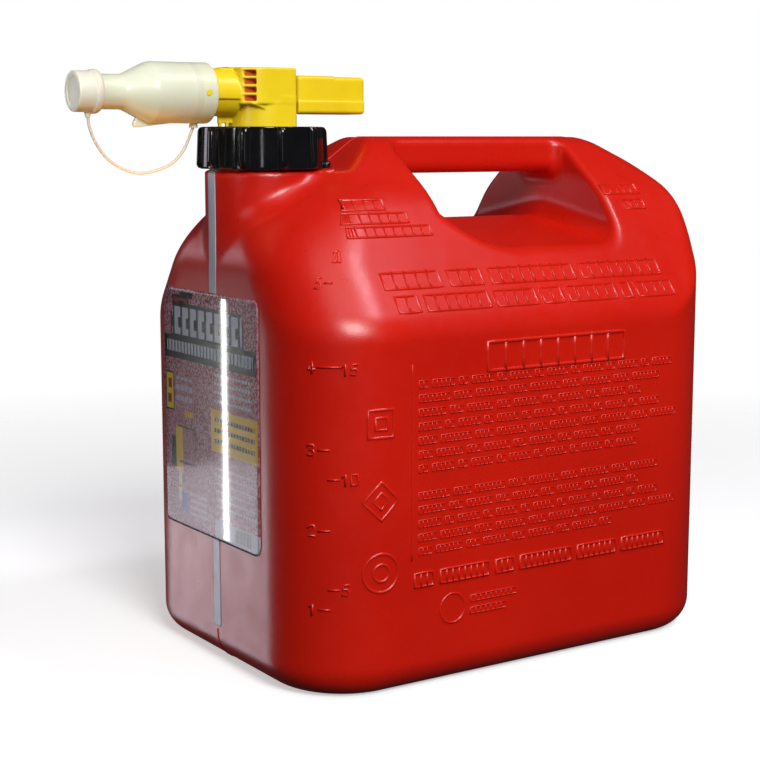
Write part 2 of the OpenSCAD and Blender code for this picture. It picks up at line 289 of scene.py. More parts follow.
def tank_front(z):
    """X of the tank's front wall at a height. It curves back towards the neck near the top."""
    return -half_length + 0.0122 * np.maximum(z - 258.0, 0.0) ** 2


def rounded_corner(a, b, r):
    """Distance to a corner of radius r whose centre is at a = b = 0."""
    return np.hypot(np.maximum(a, 0), np.maximum(b, 0)) + np.minimum(np.maximum(a, b), 0) - r


def tank_body(x, y, z):
    """Distance to the tank's outside in millimetres, less than zero inside it."""
    side = np.abs(y)
    width = tank_half_width(z)
    front = tank_front(z)
    r = np.minimum(corner, width - 1.0)
    wall = rounded_corner(front + r - x, side - width + r, r)
    rear = rounded_corner(x - half_length + corner, side - half_breadth + corner, corner)
    soft = np.clip((z - 234.0) / 30.0, 0.001, 1.0)
    wall = round_cut(wall, rear, 9.0 * soft)
    wall = round_cut(wall, (x - 125.0) * 0.588 + (z - handle_z) * 0.808, 8.0)
    wall = round_cut(wall, (x - 157.0) * 0.873 + (z - 318.7) * 0.487, 8.0)
    column = np.maximum(np.hypot(x - neck_x, y) - column_radius, 255.0 - z)
    blend = 0.3 + 11.0 * np.clip((z - 264.0) / 34.0, 0.0, 1.0)
    wall = round_join(wall, column, blend)
    top = z - ledge_z - 0.7 * (eased(x + 91.0, 4.0) - eased(x + 61.0, 4.0))
    wall = round_cut(wall, top, 2.0 + 4.0 * np.clip((x + 95.0) / 30.0, 0.0, 1.0))
    return round_cut(wall, -z, base_edge)


def handle_hollow(x, y, z):
    """The hollow under and beside the handle bar, less than zero inside it."""
    side = np.abs(y)
    floor = gap_floor - 0.2 * (np.hypot(side, 8.0) - 8.0) - z
    left = np.maximum(gap_left + (bar_under - z) * 0.125 - x, -0.635 * (x + 42.0) - 0.773 * (z - 294.0))
    hollow = round_cut(floor, left, 12.0)
    hollow = round_cut(hollow, x - gap_right, 14.0)
    bar = round_cut(side - bar_half, bar_under - z, 8.0)
    return round_cut(hollow, -bar, 9.0)


def tank_skin(x, y, z):
    """Distance to the tank with the hollow of its handle taken out."""
    return round_cut(tank_body(x, y, z), -handle_hollow(x, y, z), 5.0)


def slope_of(field, p, h=0.05):
    """The direction in which a distance grows, for an array of points."""
    parts = []
    for axis in range(3):
        shift = np.zeros(3)
        shift[axis] = h
        parts.append((field(*(p + shift).T) - field(*(p - shift).T)) / (2 * h))
    return np.stack(parts, axis=1)


def net_mesh(name, field, low, high, step):
    """The skin where a distance field is zero: one point in each cell of a grid that the skin crosses,
    joined in squares, then moved onto the skin and evened out. Sizes are in millimetres."""
    grid = [np.arange(a - 1.5 * step, b + 1.5 * step, step) for a, b in zip(low, high)]
    value = field(*np.meshgrid(*grid, indexing="ij"))
    inside = value < 0
    size = value.shape
    cells = tuple(n - 1 for n in size)
    total = np.zeros(cells + (3,))
    count = np.zeros(cells)
    for axis in range(3):
        a = [slice(None)] * 3
        b = [slice(None)] * 3
        a[axis] = slice(0, -1)
        b[axis] = slice(1, None)
        crossed = inside[tuple(a)] != inside[tuple(b)]
        with np.errstate(divide="ignore", invalid="ignore"):
            share = np.where(crossed, value[tuple(a)] / (value[tuple(a)] - value[tuple(b)]), 0)
        others = [n for n in range(3) if n != axis]
        for i in (0, 1):
            for j in (0, 1):
                part = [slice(None)] * 3
                part[others[0]] = slice(i, size[others[0]] - 1 + i)
                part[others[1]] = slice(j, size[others[1]] - 1 + j)
                hit = crossed[tuple(part)]
                total[..., axis] += np.where(hit, share[tuple(part)], 0)
                total[..., others[0]] += hit * i
                total[..., others[1]] += hit * j
                count += hit
    used = count > 0
    number = np.full(cells, -1)
    number[used] = np.arange(used.sum())
    corner_place = np.stack(np.nonzero(used), axis=1)
    start = np.array([g[0] for g in grid])
    points = start + (corner_place + total[used] / count[used][:, None]) * step
    faces = []
    for axis in range(3):
        others = [n for n in range(3) if n != axis]
        a = [slice(1, -1)] * 3
        b = [slice(1, -1)] * 3
        a[axis] = slice(0, -1)
        b[axis] = slice(1, None)
        change = inside[tuple(a)].astype(int) - inside[tuple(b)].astype(int)
        where = np.stack(np.nonzero(change), axis=1)
        sign = change[tuple(where.T)]
        offset = np.array([0 if n == axis else 1 for n in range(3)])
        cell = where + offset
        ring = []
        for i, j in ((1, 1), (0, 1), (0, 0), (1, 0)):
            back = np.zeros(3, int)
            back[others[0]] = i
            back[others[1]] = j
            ring.append(number[tuple((cell - back).T)])
        ring = np.stack(ring, axis=1)
        flip = sign < 0 if axis != 1 else sign > 0
        ring[flip] = ring[flip][:, ::-1]
        faces.append(ring)
    faces = np.concatenate(faces)
    edges = np.concatenate([faces[:, [i, (i + 1) % 4]] for i in range(4)])
    near = np.bincount(edges[:, 0], minlength=len(points)) + np.bincount(edges[:, 1], minlength=len(points))
    for turn in range(5):
        if turn < 3:
            middle = np.zeros_like(points)
            for axis in range(3):
                middle[:, axis] = (np.bincount(edges[:, 0], points[edges[:, 1], axis], len(points))
                                   + np.bincount(edges[:, 1], points[edges[:, 0], axis], len(points)))
            points = points + 0.5 * (middle / near[:, None] - points)
        slope = slope_of(field, points)
        reach = field(*points.T) / np.maximum((slope ** 2).sum(1), 0.05)
        points = points - np.clip(reach, -step, step)[:, None] * slope
    mesh = bpy.data.meshes.new(name)
    mesh.vertices.add(len(points))
    mesh.vertices.foreach_set("co", (points * 0.001).astype(np.float32).ravel())
    mesh.loops.add(faces.size)
    mesh.loops.foreach_set("vertex_index", faces.astype(np.int32).ravel())
    mesh.polygons.add(len(faces))
    mesh.polygons.foreach_set("loop_start", np.arange(0, faces.size, 4, dtype=np.int32))
    mesh.update(calc_edges=True)
    mesh.validate()
    mesh.shade_smooth()
    piece = bpy.data.objects.new(name, mesh)
    bpy.context.collection.objects.link(piece)
    return piece


tank_step = 2.5
tank = net_mesh("tank_shell", tank_skin, (-170, -122, 0), (170, 122, 344), tank_step)
red = (0.66, 0.0115, 0.003)
deep_red = (0.58, 0.008, 0.002)
worn_red = (0.74, 0.04, 0.015)
red_plastic, red_shader = moulded("red_tank_plastic", red, deep_red, worn_red, gloss=(0.27, 0.36), clouds=9.0,
                                  grain=1100.0, bump=0.12, rub=0.25)
red_shader.inputs["Subsurface Weight"].default_value = 0.12
red_shader.inputs["Subsurface Radius"].default_value = (1.0, 0.12, 0.08)
red_shader.inputs["Subsurface Scale"].default_value = 0.004
finish_as(tank, red_plastic)
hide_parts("tank")
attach(tank, "tank")

# The threaded neck stands on the column and is blown with the body. Its bore is open to the inside of
# the can.
neck_radius = 34.0
neck_bore = 30.0
rim_z = 341.0


def lathe(name, profile, steps, axis="Z", centre=(0.0, 0.0, 0.0), closed=True, swell=None):
    """A turned piece from a profile of (radius, height) points in millimetres, round an upright axis or
    along X. Swell adds to the radius by angle and height. A closed profile joins its last point to its
    first."""
    points = []
    faces = []
    rows = len(profile)
    for i in range(steps):
        a = 2 * math.pi * i / steps
        for r, h in profile:
            out = r + (swell(a, r, h) if swell else 0.0)
            if axis == "Z":
                p = (out * math.cos(a), out * math.sin(a), h)
            else:
                p = (h, out * math.cos(a), out * math.sin(a))
            points.append([(c + q) * 0.001 for c, q in zip(centre, p)])
    for i in range(steps):
        j = (i + 1) % steps
        for k in range(rows if closed else rows - 1):
            m = (k + 1) % rows
            ring = (i * rows + k, j * rows + k, j * rows + m, i * rows + m)
            faces.append(ring if axis == "Z" else ring[::-1])
    piece = make_mesh(name, points, faces)
    sort_out = piece.modifiers.new("weld", "WELD")
    sort_out.merge_threshold = 1e-6
    return piece


def rounded(points, r, steps=4):
    """A profile with each of its corners rounded to r, or to the corner's own third value."""
    result = []
    count = len(points)
    for i, point in enumerate(points):
        here = np.array(point[:2], float)
        before = np.array(points[i - 1][:2], float) - here
        after = np.array(points[(i + 1) % count][:2], float) - here
        size = point[2] if len(point) > 2 else r
        reach = min(size, 0.45 * np.linalg.norm(before), 0.45 * np.linalg.norm(after))
        if reach < 0.02:
            result.append(tuple(here))
            continue
        a = here + before / np.linalg.norm(before) * reach
        b = here + after / np.linalg.norm(after) * reach
        for k in range(steps + 1):
            t = k / steps
            result.append(tuple((1 - t) ** 2 * a + 2 * t * (1 - t) * here + t * t * b))
    return result


neck_foot = 300
neck_profile = [(neck_bore, neck_foot), (neck_radius, neck_foot), (neck_radius, rim_z), (neck_bore, rim_z)]
neck = lathe("tank_neck", rounded(neck_profile, 0.8), 128, centre=(neck_x, 0, 0))
finish_as(neck, red_plastic)
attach(neck, "tank")

thread_pitch = 6.0
thread_line = [(math.radians(t), 327.0 + t / 360 * thread_pitch) for t in range(0, 541, 5)]


def swept(name, sections):
    """A closed skin through rings of points in millimetres, the first and last ring closed off."""
    sides = len(sections[0])
    points = [[c * 0.001 for c in p] for ring in sections for p in ring]
    faces = [(i * sides + j, i * sides + (j + 1) % sides,
              (i + 1) * sides + (j + 1) % sides, (i + 1) * sides + j)
             for i in range(len(sections) - 1) for j in range(sides)]
    faces.append(tuple(range(sides - 1, -1, -1)))
    faces.append(tuple(range((len(sections) - 1) * sides, len(sections) * sides)))
    return make_mesh(name, points, faces)


def thread_ring(angle, height, root, crest):
    """One cut through a screw ridge round the neck."""
    return [(neck_x + r * math.cos(angle), r * math.sin(angle), height + h)
            for r, h in ((root, -1.5), (crest, -0.7), (crest, 0.7), (root, 1.5))]


neck_thread = swept("tank_neck_thread", [thread_ring(a, h, neck_radius - 0.5, neck_radius + 2.0)
                                         for a, h in thread_line])
finish_as(neck_thread, red_plastic)
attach(neck_thread, "tank")

# The parting line: the two halves of the mould leave a fine raised flash all round the middle of the can.
flash_half = 0.45
flash_lift = 0.45


def hit(origins, directions, field, steps=60):
    """Where rays from outside first meet a skin, found by walking in by the distance still to go."""
    p = np.array(origins, float)
    d = np.array(directions, float)
    d = d / np.linalg.norm(d, axis=1)[:, None]
    for _ in range(steps):
        p = p + 0.75 * field(*p.T)[:, None] * d
    return p


turns = np.radians(np.arange(0, 360, 0.75))
spokes = np.stack([np.cos(turns), np.zeros_like(turns), np.sin(turns)], axis=1)
ring_start = np.array([0.0, 0.0, 170.0]) + spokes * 330.0
outline = hit(ring_start, -spokes, tank_body)
on_stripe = (outline[:, 0] < -150.0) & (outline[:, 2] > 23.0)
outline = outline[~on_stripe & ((outline[:, 0] > neck_x + 41.0) | (outline[:, 2] < 318.0))]
first = int(np.argmax(np.linalg.norm(np.diff(outline, axis=0), axis=1))) + 1
outline = np.roll(outline, -first, axis=0)
out_way = slope_of(tank_body, outline)
out_way = out_way / np.linalg.norm(out_way, axis=1)[:, None]
across = np.array([0.0, 1.0, 0.0])
flash_root = 0.3
flash = swept("tank_parting_line", [[p - across * flash_half * 1.6 - n * flash_root,
                                     p - across * flash_half + n * flash_lift,
                                     p + across * flash_half + n * flash_lift,
                                     p + across * flash_half * 1.6 - n * flash_root]
                                    for p, n in zip(outline, out_way)])
flash.data.flip_normals()
finish_as(flash, red_plastic)
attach(flash, "tank")

# A thin upright tooth stands out of the column under the collar. The lug on the collar clicks over it.
tooth_angle = math.radians(-52)
tooth_out = np.array([math.cos(tooth_angle), math.sin(tooth_angle), 0.0])
tooth_side = np.array([-math.sin(tooth_angle), math.cos(tooth_angle), 0.0])
tooth_top = np.array([neck_x, 0.0, 321.4])
tooth_rim = [(35.0, 0.0), (49.5, 0.0)]
tooth_rim += [(35.0 + 14.5 * math.cos(math.radians(t)), -12.5 * math.sin(math.radians(t)))
              for t in range(12, 91, 6)]
tooth = swept("tank_lock_tooth", [[tooth_top + tooth_out * r + np.array([0, 0, h]) + tooth_side * s
                                   for r, h in tooth_rim] for s in (-1.2, -0.9, 0.9, 1.2)])
finish_as(tooth, red_plastic)
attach(tooth, "tank")

# Raised marks of the mould: level scales with plain numbers, and rows of plain ladders in place of wording.
flat_front = half_breadth - corner
arc_run = corner * math.pi / 2


def round_wall(q):
    """Plan point and inward way at a distance q round the wall, from the middle of the front towards the
    near side."""
    q = np.asarray(q, float)
    turned = np.clip((np.abs(q) - flat_front) / corner, 0.0, math.pi / 2)
    side = -np.sign(q)
    past = np.maximum(np.abs(q) - flat_front - arc_run, 0.0)
    x = -half_length + corner - corner * np.cos(turned) + past
    y = side * (np.minimum(np.abs(q), flat_front) + corner * np.sin(turned))
    inward = np.stack([np.cos(turned), -side * np.sin(turned), np.zeros_like(turned)], axis=-1)
    return x, y, inward


def on_wall(q, z, lift):
    """Points on the tank's skin at distance q round it and height z, lifted off it by a little."""
    q = np.asarray(q, float)
    z = np.asarray(z, float)
    x, y, inward = round_wall(q)
    start = np.stack([x, y, z], axis=-1) - inward * 25.0
    p = hit(start, inward, tank_body, 50)
    n = slope_of(tank_body, p)
    n = n / np.linalg.norm(n, axis=1)[:, None]
    return p + n * np.asarray(lift, float)[..., None]


stroke_root = 0.35


def raised_lines(name, lines, height):
    """Raised strokes moulded on the tank's wall. Each line is its points (q, z) and its half width."""
    place = []
    lifts = []
    faces = []
    for points, half in lines:
        path = []
        for (q0, z0), (q1, z1) in zip(points, points[1:]):
            count = max(1, int(math.dist((q0, z0), (q1, z1)) / 5.0))
            path += [(q0 + (q1 - q0) * i / count, z0 + (z1 - z0) * i / count) for i in range(count)]
        loop = points[0] == points[-1]
        if not loop:
            path.append(points[-1])
        base = len(place)
        n = len(path)
        for i, (q, z) in enumerate(path):
            a = path[(i - 1) % n] if loop or i else path[0]
            b = path[(i + 1) % n] if loop or i < n - 1 else path[-1]
            run = math.dist(a, b) or 1.0
            side = (-(b[1] - a[1]) / run, (b[0] - a[0]) / run)
            end = 0.0 if loop or 0 < i < n - 1 else (-half if i == 0 else half)
            along = ((b[0] - a[0]) / run * end, (b[1] - a[1]) / run * end)
            for s, up in ((-1.5 * half, -stroke_root), (-0.7 * half, height),
                          (0.7 * half, height), (1.5 * half, -stroke_root)):
                place.append((q + side[0] * s + along[0], z + side[1] * s + along[1]))
                lifts.append(up)
        for i in range(n if loop else n - 1):
            j = (i + 1) % n
            faces += [(base + i * 4 + k, base + j * 4 + k, base + j * 4 + k + 1, base + i * 4 + k + 1)
                      for k in range(3)]
        if not loop:
            faces.append((base, base + 1, base + 2, base + 3))
            faces.append(tuple(base + (n - 1) * 4 + k for k in (3, 2, 1, 0)))
    place = np.array(place)
    points = on_wall(place[:, 0], place[:, 1], lifts) * 0.001
    piece = make_mesh(name, points, faces)
    finish_as(piece, red_plastic)
    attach(piece, "tank")
    return piece


side_start = flat_front + arc_run + half_length - corner
digit_strokes = {
    "0": [[(0, 0), (0, 1), (0.6, 1), (0.6, 0), (0, 0)]],
    "1": [[(0.3, 0), (0.3, 1), (0.08, 0.78)]],
    "2": [[(0, 0.82), (0.15, 1), (0.5, 1), (0.6, 0.8), (0.5, 0.55), (0, 0), (0.6, 0)]],
    "3": [[(0, 0.9), (0.2, 1), (0.5, 0.97), (0.6, 0.76), (0.45, 0.54), (0.22, 0.52)],
          [(0.45, 0.52), (0.6, 0.28), (0.48, 0.04), (0.15, 0), (0, 0.12)]],
    "4": [[(0.45, 0), (0.45, 1), (0, 0.3), (0.65, 0.3)]],
    "5": [[(0.58, 1), (0.08, 1), (0.03, 0.53), (0.4, 0.62), (0.6, 0.32), (0.42, 0.02), (0, 0.06)]]}


digit_pitch = 0.85


def number(text, q, z, size):
    """Strokes of a plain number whose lower left corner is at q, z, seen from outside the near side."""
    strokes = []
    for i, character in enumerate(text):
        for stroke in digit_strokes[character]:
            line = [(q + (i * digit_pitch + u) * size, z + v * size) for u, v in stroke]
            strokes.append((line, 0.07 * size + 0.12))
    return strokes


def ladder(q, z, cells, cell, height, half):
    """A long plain frame with rungs, which stands where the mould has wording."""
    right = q + cells * cell
    strokes = [([(q, z), (right, z), (right, z + height), (q, z + height), (q, z)], half)]
    strokes += [([(q + i * cell, z), (q + i * cell, z + height)], half) for i in range(1, cells)]
    return strokes


marks = []
gallon_z = {"5": 255.5, "4": 207.0, "3": 157.0, "2": 107.5, "1": 58.5}
litre_z = {"20": 270.5, "15": 205.5, "10": 139.0, "5": 71.0}
for text, z in gallon_z.items():
    marks += number(text, 101.0, z - 3.2, 6.4)
    marks.append(([(107.5, z), (114.0 if text != "4" else 121.0, z)], 0.45))
for text, z in litre_z.items():
    if text not in ("20", "15"):
        marks.append(([(113.5, z), (120.0, z)], 0.45))
    marks += number(text, 121.8 if text != "20" else 112.0, z - 3.2, 6.4)
raised_lines("tank_level_marks", marks, 0.8)

words = []
for q, z, run, cell, gap in ((-106, 250.5, (5, 3, 8, 8), 8.5, 6.6),
                             (-102, 237.0, (2, 6, 4, 2, 5, 1, 4), 8.0, 5.4)):
    for cells in run:
        words += ladder(side_start + q, z, cells, cell, 9.3, 0.6)
        q += cells * cell + gap
for q, z, cells in ((-146, 297, 9), (-146, 289, 11), (-132, 281, 11)):
    words += ladder(side_start + q, z, cells, 6.9, 6.0, 0.5)
words += ladder(side_start + 100, 303.0, 5, 6.2, 6.0, 0.35)
words += ladder(side_start + 112, 293.0, 3, 6.2, 6.0, 0.35)
words += ladder(side_start - 40, 198.0, 8, 14.0, 18.0, 0.95)
q = -95
for cells in (3, 8, 3, 9, 7, 8):
    words += ladder(side_start + q, 67.5, cells, 4.7, 8.6, 0.6)
    q += cells * 4.7 + 5.5
raised_lines("tank_side_words", words, 0.95)

fine = []
for row in range(12):
    z = 191.5 - row * 8.7 - (8.3 if row > 6 else 0.0)
    q = -92.0
    step = 0
    end = 112.0 - (row % 3) * 9.0 - (34.0 if row in (6, 11) else 0.0)
    while q < end - 6:
        cells = 2 + (row * 5 + step * 3) % 6
        fine += ladder(side_start + q, z, cells, 3.3, 4.4, 0.32)
        q += cells * 3.3 + 3.4
        step += 1
raised_lines("tank_fine_words", fine, 0.5)

signs = []
sign_shift = 119.0
sign_radius = 12.0
inner_share = 0.45
for z, sides, turn in ((172.0, 4, 45), (124.5, 4, 0), (80.0, 24, 0)):
    rim = [(side_start - sign_shift + sign_radius * math.cos(math.radians(turn + 360 * i / sides)),
            z + sign_radius * math.sin(math.radians(turn + 360 * i / sides))) for i in range(sides)]
    signs.append((rim + rim[:1], 0.8))
    inner = [(side_start - sign_shift + (a - side_start + sign_shift) * inner_share,
              z + (b - z) * inner_share) for a, b in rim]
    signs.append((inner + inner[:1], 0.8))
rim = [(side_start - 66.0 + 9.5 * math.cos(math.radians(15 * i)), 50.0 + 9.5 * math.sin(math.radians(15 * i)))
       for i in range(24)]
signs.append((rim + rim[:1], 0.5))
signs += ladder(side_start - 52.0, 52.0, 9, 4.0, 4.0, 0.3) + ladder(side_start - 52.0, 44.0, 7, 4.0, 4.0, 0.3)
signs.append(([(side_start - 97.0, 85.0), (side_start - 97.0, 206.0)], 0.35))
raised_lines("tank_signs", signs, 0.7)

# ---------------------------------------------------------------- level stripe
# A strip of milky see-through polyethylene, run into the front wall when the can is blown. The fuel shows
# through it, and it goes up over the shoulder to the neck under the printed sheet.
stripe_half = 4.5
stripe_z = np.arange(24.0, 324.0, 1.5)
stripe_lift = 0.35


sheet_root = 0.25


def wall_strip(name, rows, columns, lift):
    """A thin raised sheet on the front wall, from heights and a list of q for each, with its rim turned down
    to the wall."""
    q = np.array(columns, float)
    z = np.array(rows, float)
    count, across_count = q.shape
    up = np.full(q.shape, lift)
    up[[0, -1]] = -sheet_root
    up[:, [0, -1]] = -sheet_root
    points = on_wall(q.ravel(), np.repeat(z, across_count) if z.ndim == 1 else z.ravel(), up.ravel()) * 0.001
    faces = [(i * across_count + j, (i + 1) * across_count + j, (i + 1) * across_count + j + 1,
              i * across_count + j + 1)
             for i in range(count - 1) for j in range(across_count - 1)]
    sheet = make_mesh(name, points, faces)
    sheet.data.flip_normals()
    return sheet


stripe_row = [-stripe_half - 0.05, -stripe_half, -stripe_half + 0.5, -1.5,
              1.5, stripe_half - 0.5, stripe_half, stripe_half + 0.05]
stripe = wall_strip("level_stripe", stripe_z, [stripe_row] * len(stripe_z), stripe_lift)
milky, milky_shader = moulded("milky_plastic", (0.52, 0.52, 0.62), (0.44, 0.44, 0.55), (0.6, 0.6, 0.7),
                              gloss=(0.28, 0.38), clouds=30.0, bump=0.05)
milky_shader.inputs["Subsurface Weight"].default_value = 0.2
milky_shader.inputs["Subsurface Scale"].default_value = 0.003
finish_as(stripe, milky)
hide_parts("view_stripe")
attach(stripe, "tank")

# ---------------------------------------------------------------- printed sheet
# A glossy foil sticker on the front wall. It starts a little short of the near corner and wraps a little
# way round the far corner. Its printing is plain bars, blocks and fields with no wording.
sheet_near = 59.0
sheet_far = -73.0
sheet_low = 83.0
sheet_high = 243.5
sheet_corner = 6.0
sheet_lift = 0.75

sheet_q = np.concatenate([[sheet_far - 0.05], np.linspace(sheet_far, sheet_near, 60), [sheet_near + 0.05]])
inset = np.maximum(0.0, sheet_corner - np.minimum(sheet_q - sheet_far, sheet_near - sheet_q))
inset = sheet_corner - np.sqrt(np.maximum(sheet_corner ** 2 - np.minimum(inset, sheet_corner) ** 2, 0.0))
levels = np.concatenate([[-0.0004], np.linspace(0.0, 1.0, 70), [1.0004]])
low_line = sheet_low + inset
high_line = sheet_high - inset
sheet_z = low_line[None, :] + levels[:, None] * (high_line - low_line)[None, :]
printed = wall_strip("printed_sheet", sheet_z, [sheet_q] * len(levels), sheet_lift)


def build_printed_block():
    """A rectangle of print on the front wall: one between the given edges, nothing outside them."""
    group, given, out = shader_group(
        "printed_block", [("Left", "Float", 0.0), ("Right", "Float", 0.0), ("Low", "Float", 0.0),
                          ("High", "Float", 0.0)], [("Mask", "Float")])
    nodes, links = group.nodes, group.links
    place = nodes.new("ShaderNodeSeparateXYZ")
    links.new(nodes.new("ShaderNodeTexCoord").outputs["Object"], place.inputs[0])
    mask = None
    for operation, axis, edge in (("GREATER_THAN", "Y", "Right"), ("LESS_THAN", "Y", "Left"),
                                  ("GREATER_THAN", "Z", "Low"), ("LESS_THAN", "Z", "High")):
        test = nodes.new("ShaderNodeMath")
        test.operation = operation
        links.new(place.outputs[axis], test.inputs[0])
        links.new(given.outputs[edge], test.inputs[1])
        if mask is None:
            mask = test.outputs[0]
        else:
            both = nodes.new("ShaderNodeMath")
            both.operation = "MULTIPLY"
            links.new(mask, both.inputs[0])
            links.new(test.outputs[0], both.inputs[1])
            mask = both.outputs[0]
    links.new(mask, out.inputs["Mask"])
    return group


def build_printed_bars():
    """Print broken into even bars along Y or Z: one on a bar, nothing between them."""
    group, given, out = shader_group(
        "printed_bars", [("Pitch Y", "Float", 0.004), ("Fill Y", "Float", 0.6), ("Pitch Z", "Float", 0.005),
                         ("Fill Z", "Float", 0.5)], [("Mask", "Float")])
    nodes, links = group.nodes, group.links
    place = nodes.new("ShaderNodeSeparateXYZ")
    links.new(nodes.new("ShaderNodeTexCoord").outputs["Object"], place.inputs[0])
    masks = []
    for axis in ("Y", "Z"):
        count = nodes.new("ShaderNodeMath")
        count.operation = "DIVIDE"
        links.new(place.outputs[axis], count.inputs[0])
        links.new(given.outputs["Pitch " + axis], count.inputs[1])
        part = nodes.new("ShaderNodeMath")
        part.operation = "FRACT"
        links.new(count.outputs[0], part.inputs[0])
        test = nodes.new("ShaderNodeMath")
        test.operation = "LESS_THAN"
        links.new(part.outputs[0], test.inputs[0])
        links.new(given.outputs["Fill " + axis], test.inputs[1])
        masks.append(test.outputs[0])
    both = nodes.new("ShaderNodeMath")
    both.operation = "MULTIPLY"
    links.new(masks[0], both.inputs[0])
    links.new(masks[1], both.inputs[1])
    links.new(both.outputs[0], out.inputs["Mask"])
    return group


printed_block = build_printed_block()
printed_bars = build_printed_bars()
foil_red = (0.17, 0.008, 0.012)
foil_pink = (0.26, 0.045, 0.06)
foil_silver = (0.52, 0.30, 0.35)
ink_black = (0.012, 0.012, 0.014)
ink_silver = (0.46, 0.46, 0.54)
ink_yellow = (0.72, 0.46, 0.02)
ink_blue = (0.05, 0.05, 0.30)
ink_cream = (0.62, 0.56, 0.38)

# each print: colour, then left, right, low and high in millimetres, then bar pitch and fill along Y and Z
prints = [
    (ink_black, 57, 33, 228, 239, None), (foil_pink, 55, 36, 230, 237, None),
    (ink_black, 49, 40, 232, 235, None), (ink_black, 45, 28, 237, 241, None),
    (ink_black, 60, -42, 209.5, 227, None), (ink_black, 56, -38, 227, 233.5, None),
    (ink_silver, 57.5, -39, 212.5, 231, (11.4, 0.76, 60.0, 1.0)),
    (ink_black, 57.5, -39, 217, 224, (11.4, 0.3, 60.0, 1.0)),
    (ink_black, 70, -57, 196, 211.5, None), (ink_silver, 66, -53, 200.5, 208, (4.6, 0.66, 60.0, 1.0)),
    (ink_black, 69.5, 56.5, 160, 186.5, None), (ink_yellow, 68.3, 57.8, 161.2, 185.3, None),
    (foil_red, 66.0, 60.6, 165, 171, None), (foil_red, 65.0, 60.0, 175, 181.5, None),
    (ink_silver, 54, 30, 164, 184, (6.1, 0.72, 7.0, 0.5)),
    (ink_yellow, 42, 30, 158, 162, (3.2, 0.7, 60.0, 1.0)),
    (ink_silver, -1, -51, 171, 193, (4.1, 0.72, 5.6, 0.34)),
    (ink_black, 62, 52, 122, 143, None), (ink_yellow, 55, 45, 119, 150, None),
    (ink_cream, 52, 47, 100, 122, None), (ink_black, 52, 26, 150, 151.2, None),
    (ink_black, 27.2, 26, 126, 151, None), (ink_black, 50, 26, 126, 127.2, None),
    (ink_black, 52, 47, 109, 110, None), (ink_yellow, 4, -58, 141, 169, None),
    (ink_black, 0, -54, 145, 166, (3.7, 0.76, 7.0, 0.4)),
    (ink_black, 72, 55, 91, 106, (3.3, 0.55, 2.9, 0.6)), (ink_blue, 48, 38.5, 93, 106, None),
    (ink_silver, 36, 12, 90, 108, (3.0, 0.7, 4.4, 0.5)),
    (ink_silver, -2, -54, 102, 134, (3.7, 0.7, 5.0, 0.24)),
    (ink_silver, 0, -60, 84, 96.5, None), (ink_black, -28, -48, 86.5, 95.5, (1.9, 0.55, 60.0, 1.0))]

foil = bpy.data.materials.new("printed_foil")
foil.use_nodes = True
foil_nodes, foil_links = foil.node_tree.nodes, foil.node_tree.links
foil_shader = foil_nodes["Principled BSDF"]
foil_place = foil_nodes.new("ShaderNodeTexCoord").outputs["Object"]
sparkle = noise(foil_nodes, foil_links, foil_place, 620.0, 3.0, 0.8)
sparkle_mask = remap(foil_nodes, foil_links, sparkle, 0.46, 0.56, 0.0, 1.0)
patches = noise(foil_nodes, foil_links, foil_place, 26.0, 2.0)
patch_mask = remap(foil_nodes, foil_links, patches, 0.40, 0.62, 0.0, 1.0)
colour = blend_colours(foil_nodes, foil_links, patch_mask, foil_red, foil_pink)
colour = blend_colours(foil_nodes, foil_links, sparkle_mask, colour, foil_silver)
for ink, left, right, low, high, bars in prints:
    block = foil_nodes.new("ShaderNodeGroup")
    block.node_tree = printed_block
    for label, value in (("Left", left), ("Right", right), ("Low", low), ("High", high)):
        block.inputs[label].default_value = value * 0.001
    mask = block.outputs["Mask"]
    if bars:
        broken = foil_nodes.new("ShaderNodeGroup")
        broken.node_tree = printed_bars
        for label, value in zip(("Pitch Y", "Fill Y", "Pitch Z", "Fill Z"),
                                (bars[0] * 0.001, bars[1], bars[2] * 0.001, bars[3])):
            broken.inputs[label].default_value = value
        both = foil_nodes.new("ShaderNodeMath")
        both.operation = "MULTIPLY"
        foil_links.new(mask, both.inputs[0])
        foil_links.new(broken.outputs["Mask"], both.inputs[1])
        mask = both.outputs[0]
    colour = blend_colours(foil_nodes, foil_links, mask, colour, ink)
foil_links.new(colour, foil_shader.inputs["Base Color"])
foil_links.new(remap(foil_nodes, foil_links, sparkle, 0.4, 0.6, 0.26, 0.12), foil_shader.inputs["Roughness"])
foil_relief = foil_nodes.new("ShaderNodeBump")
foil_relief.inputs["Strength"].default_value = 0.12
foil_relief.inputs["Distance"].default_value = 0.0003
foil_links.new(sparkle, foil_relief.inputs["Height"])
foil_links.new(foil_relief.outputs["Normal"], foil_shader.inputs["Normal"])
foil_shader.inputs["Specular IOR Level"].default_value = 0.08
foil_shader.inputs["Coat Weight"].default_value = 0.3
foil_shader.inputs["Coat Roughness"].default_value = 0.035
finish_as(printed, foil)
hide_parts("front_label")
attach(printed, "tank")

# ---------------------------------------------------------------- neck gasket
# A flat black rubber ring, cut from sheet. The collar presses the flange of the nozzle down on it.
rubber = moulded("black_rubber", (0.02, 0.02, 0.021), (0.012, 0.012, 0.013), (0.05, 0.05, 0.05),
                 gloss=(0.55, 0.75), clouds=60.0, grain=2600.0, bump=0.2)[0]


def dress(node, material):
    """Gives a CAD piece that stays as it is its finished material."""
    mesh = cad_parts[node].data
    mesh.materials.clear()
    mesh.materials.append(material)
    mesh.shade_smooth()
    mesh.set_sharp_from_angle(angle=math.radians(35))


dress("neck_gasket", rubber)

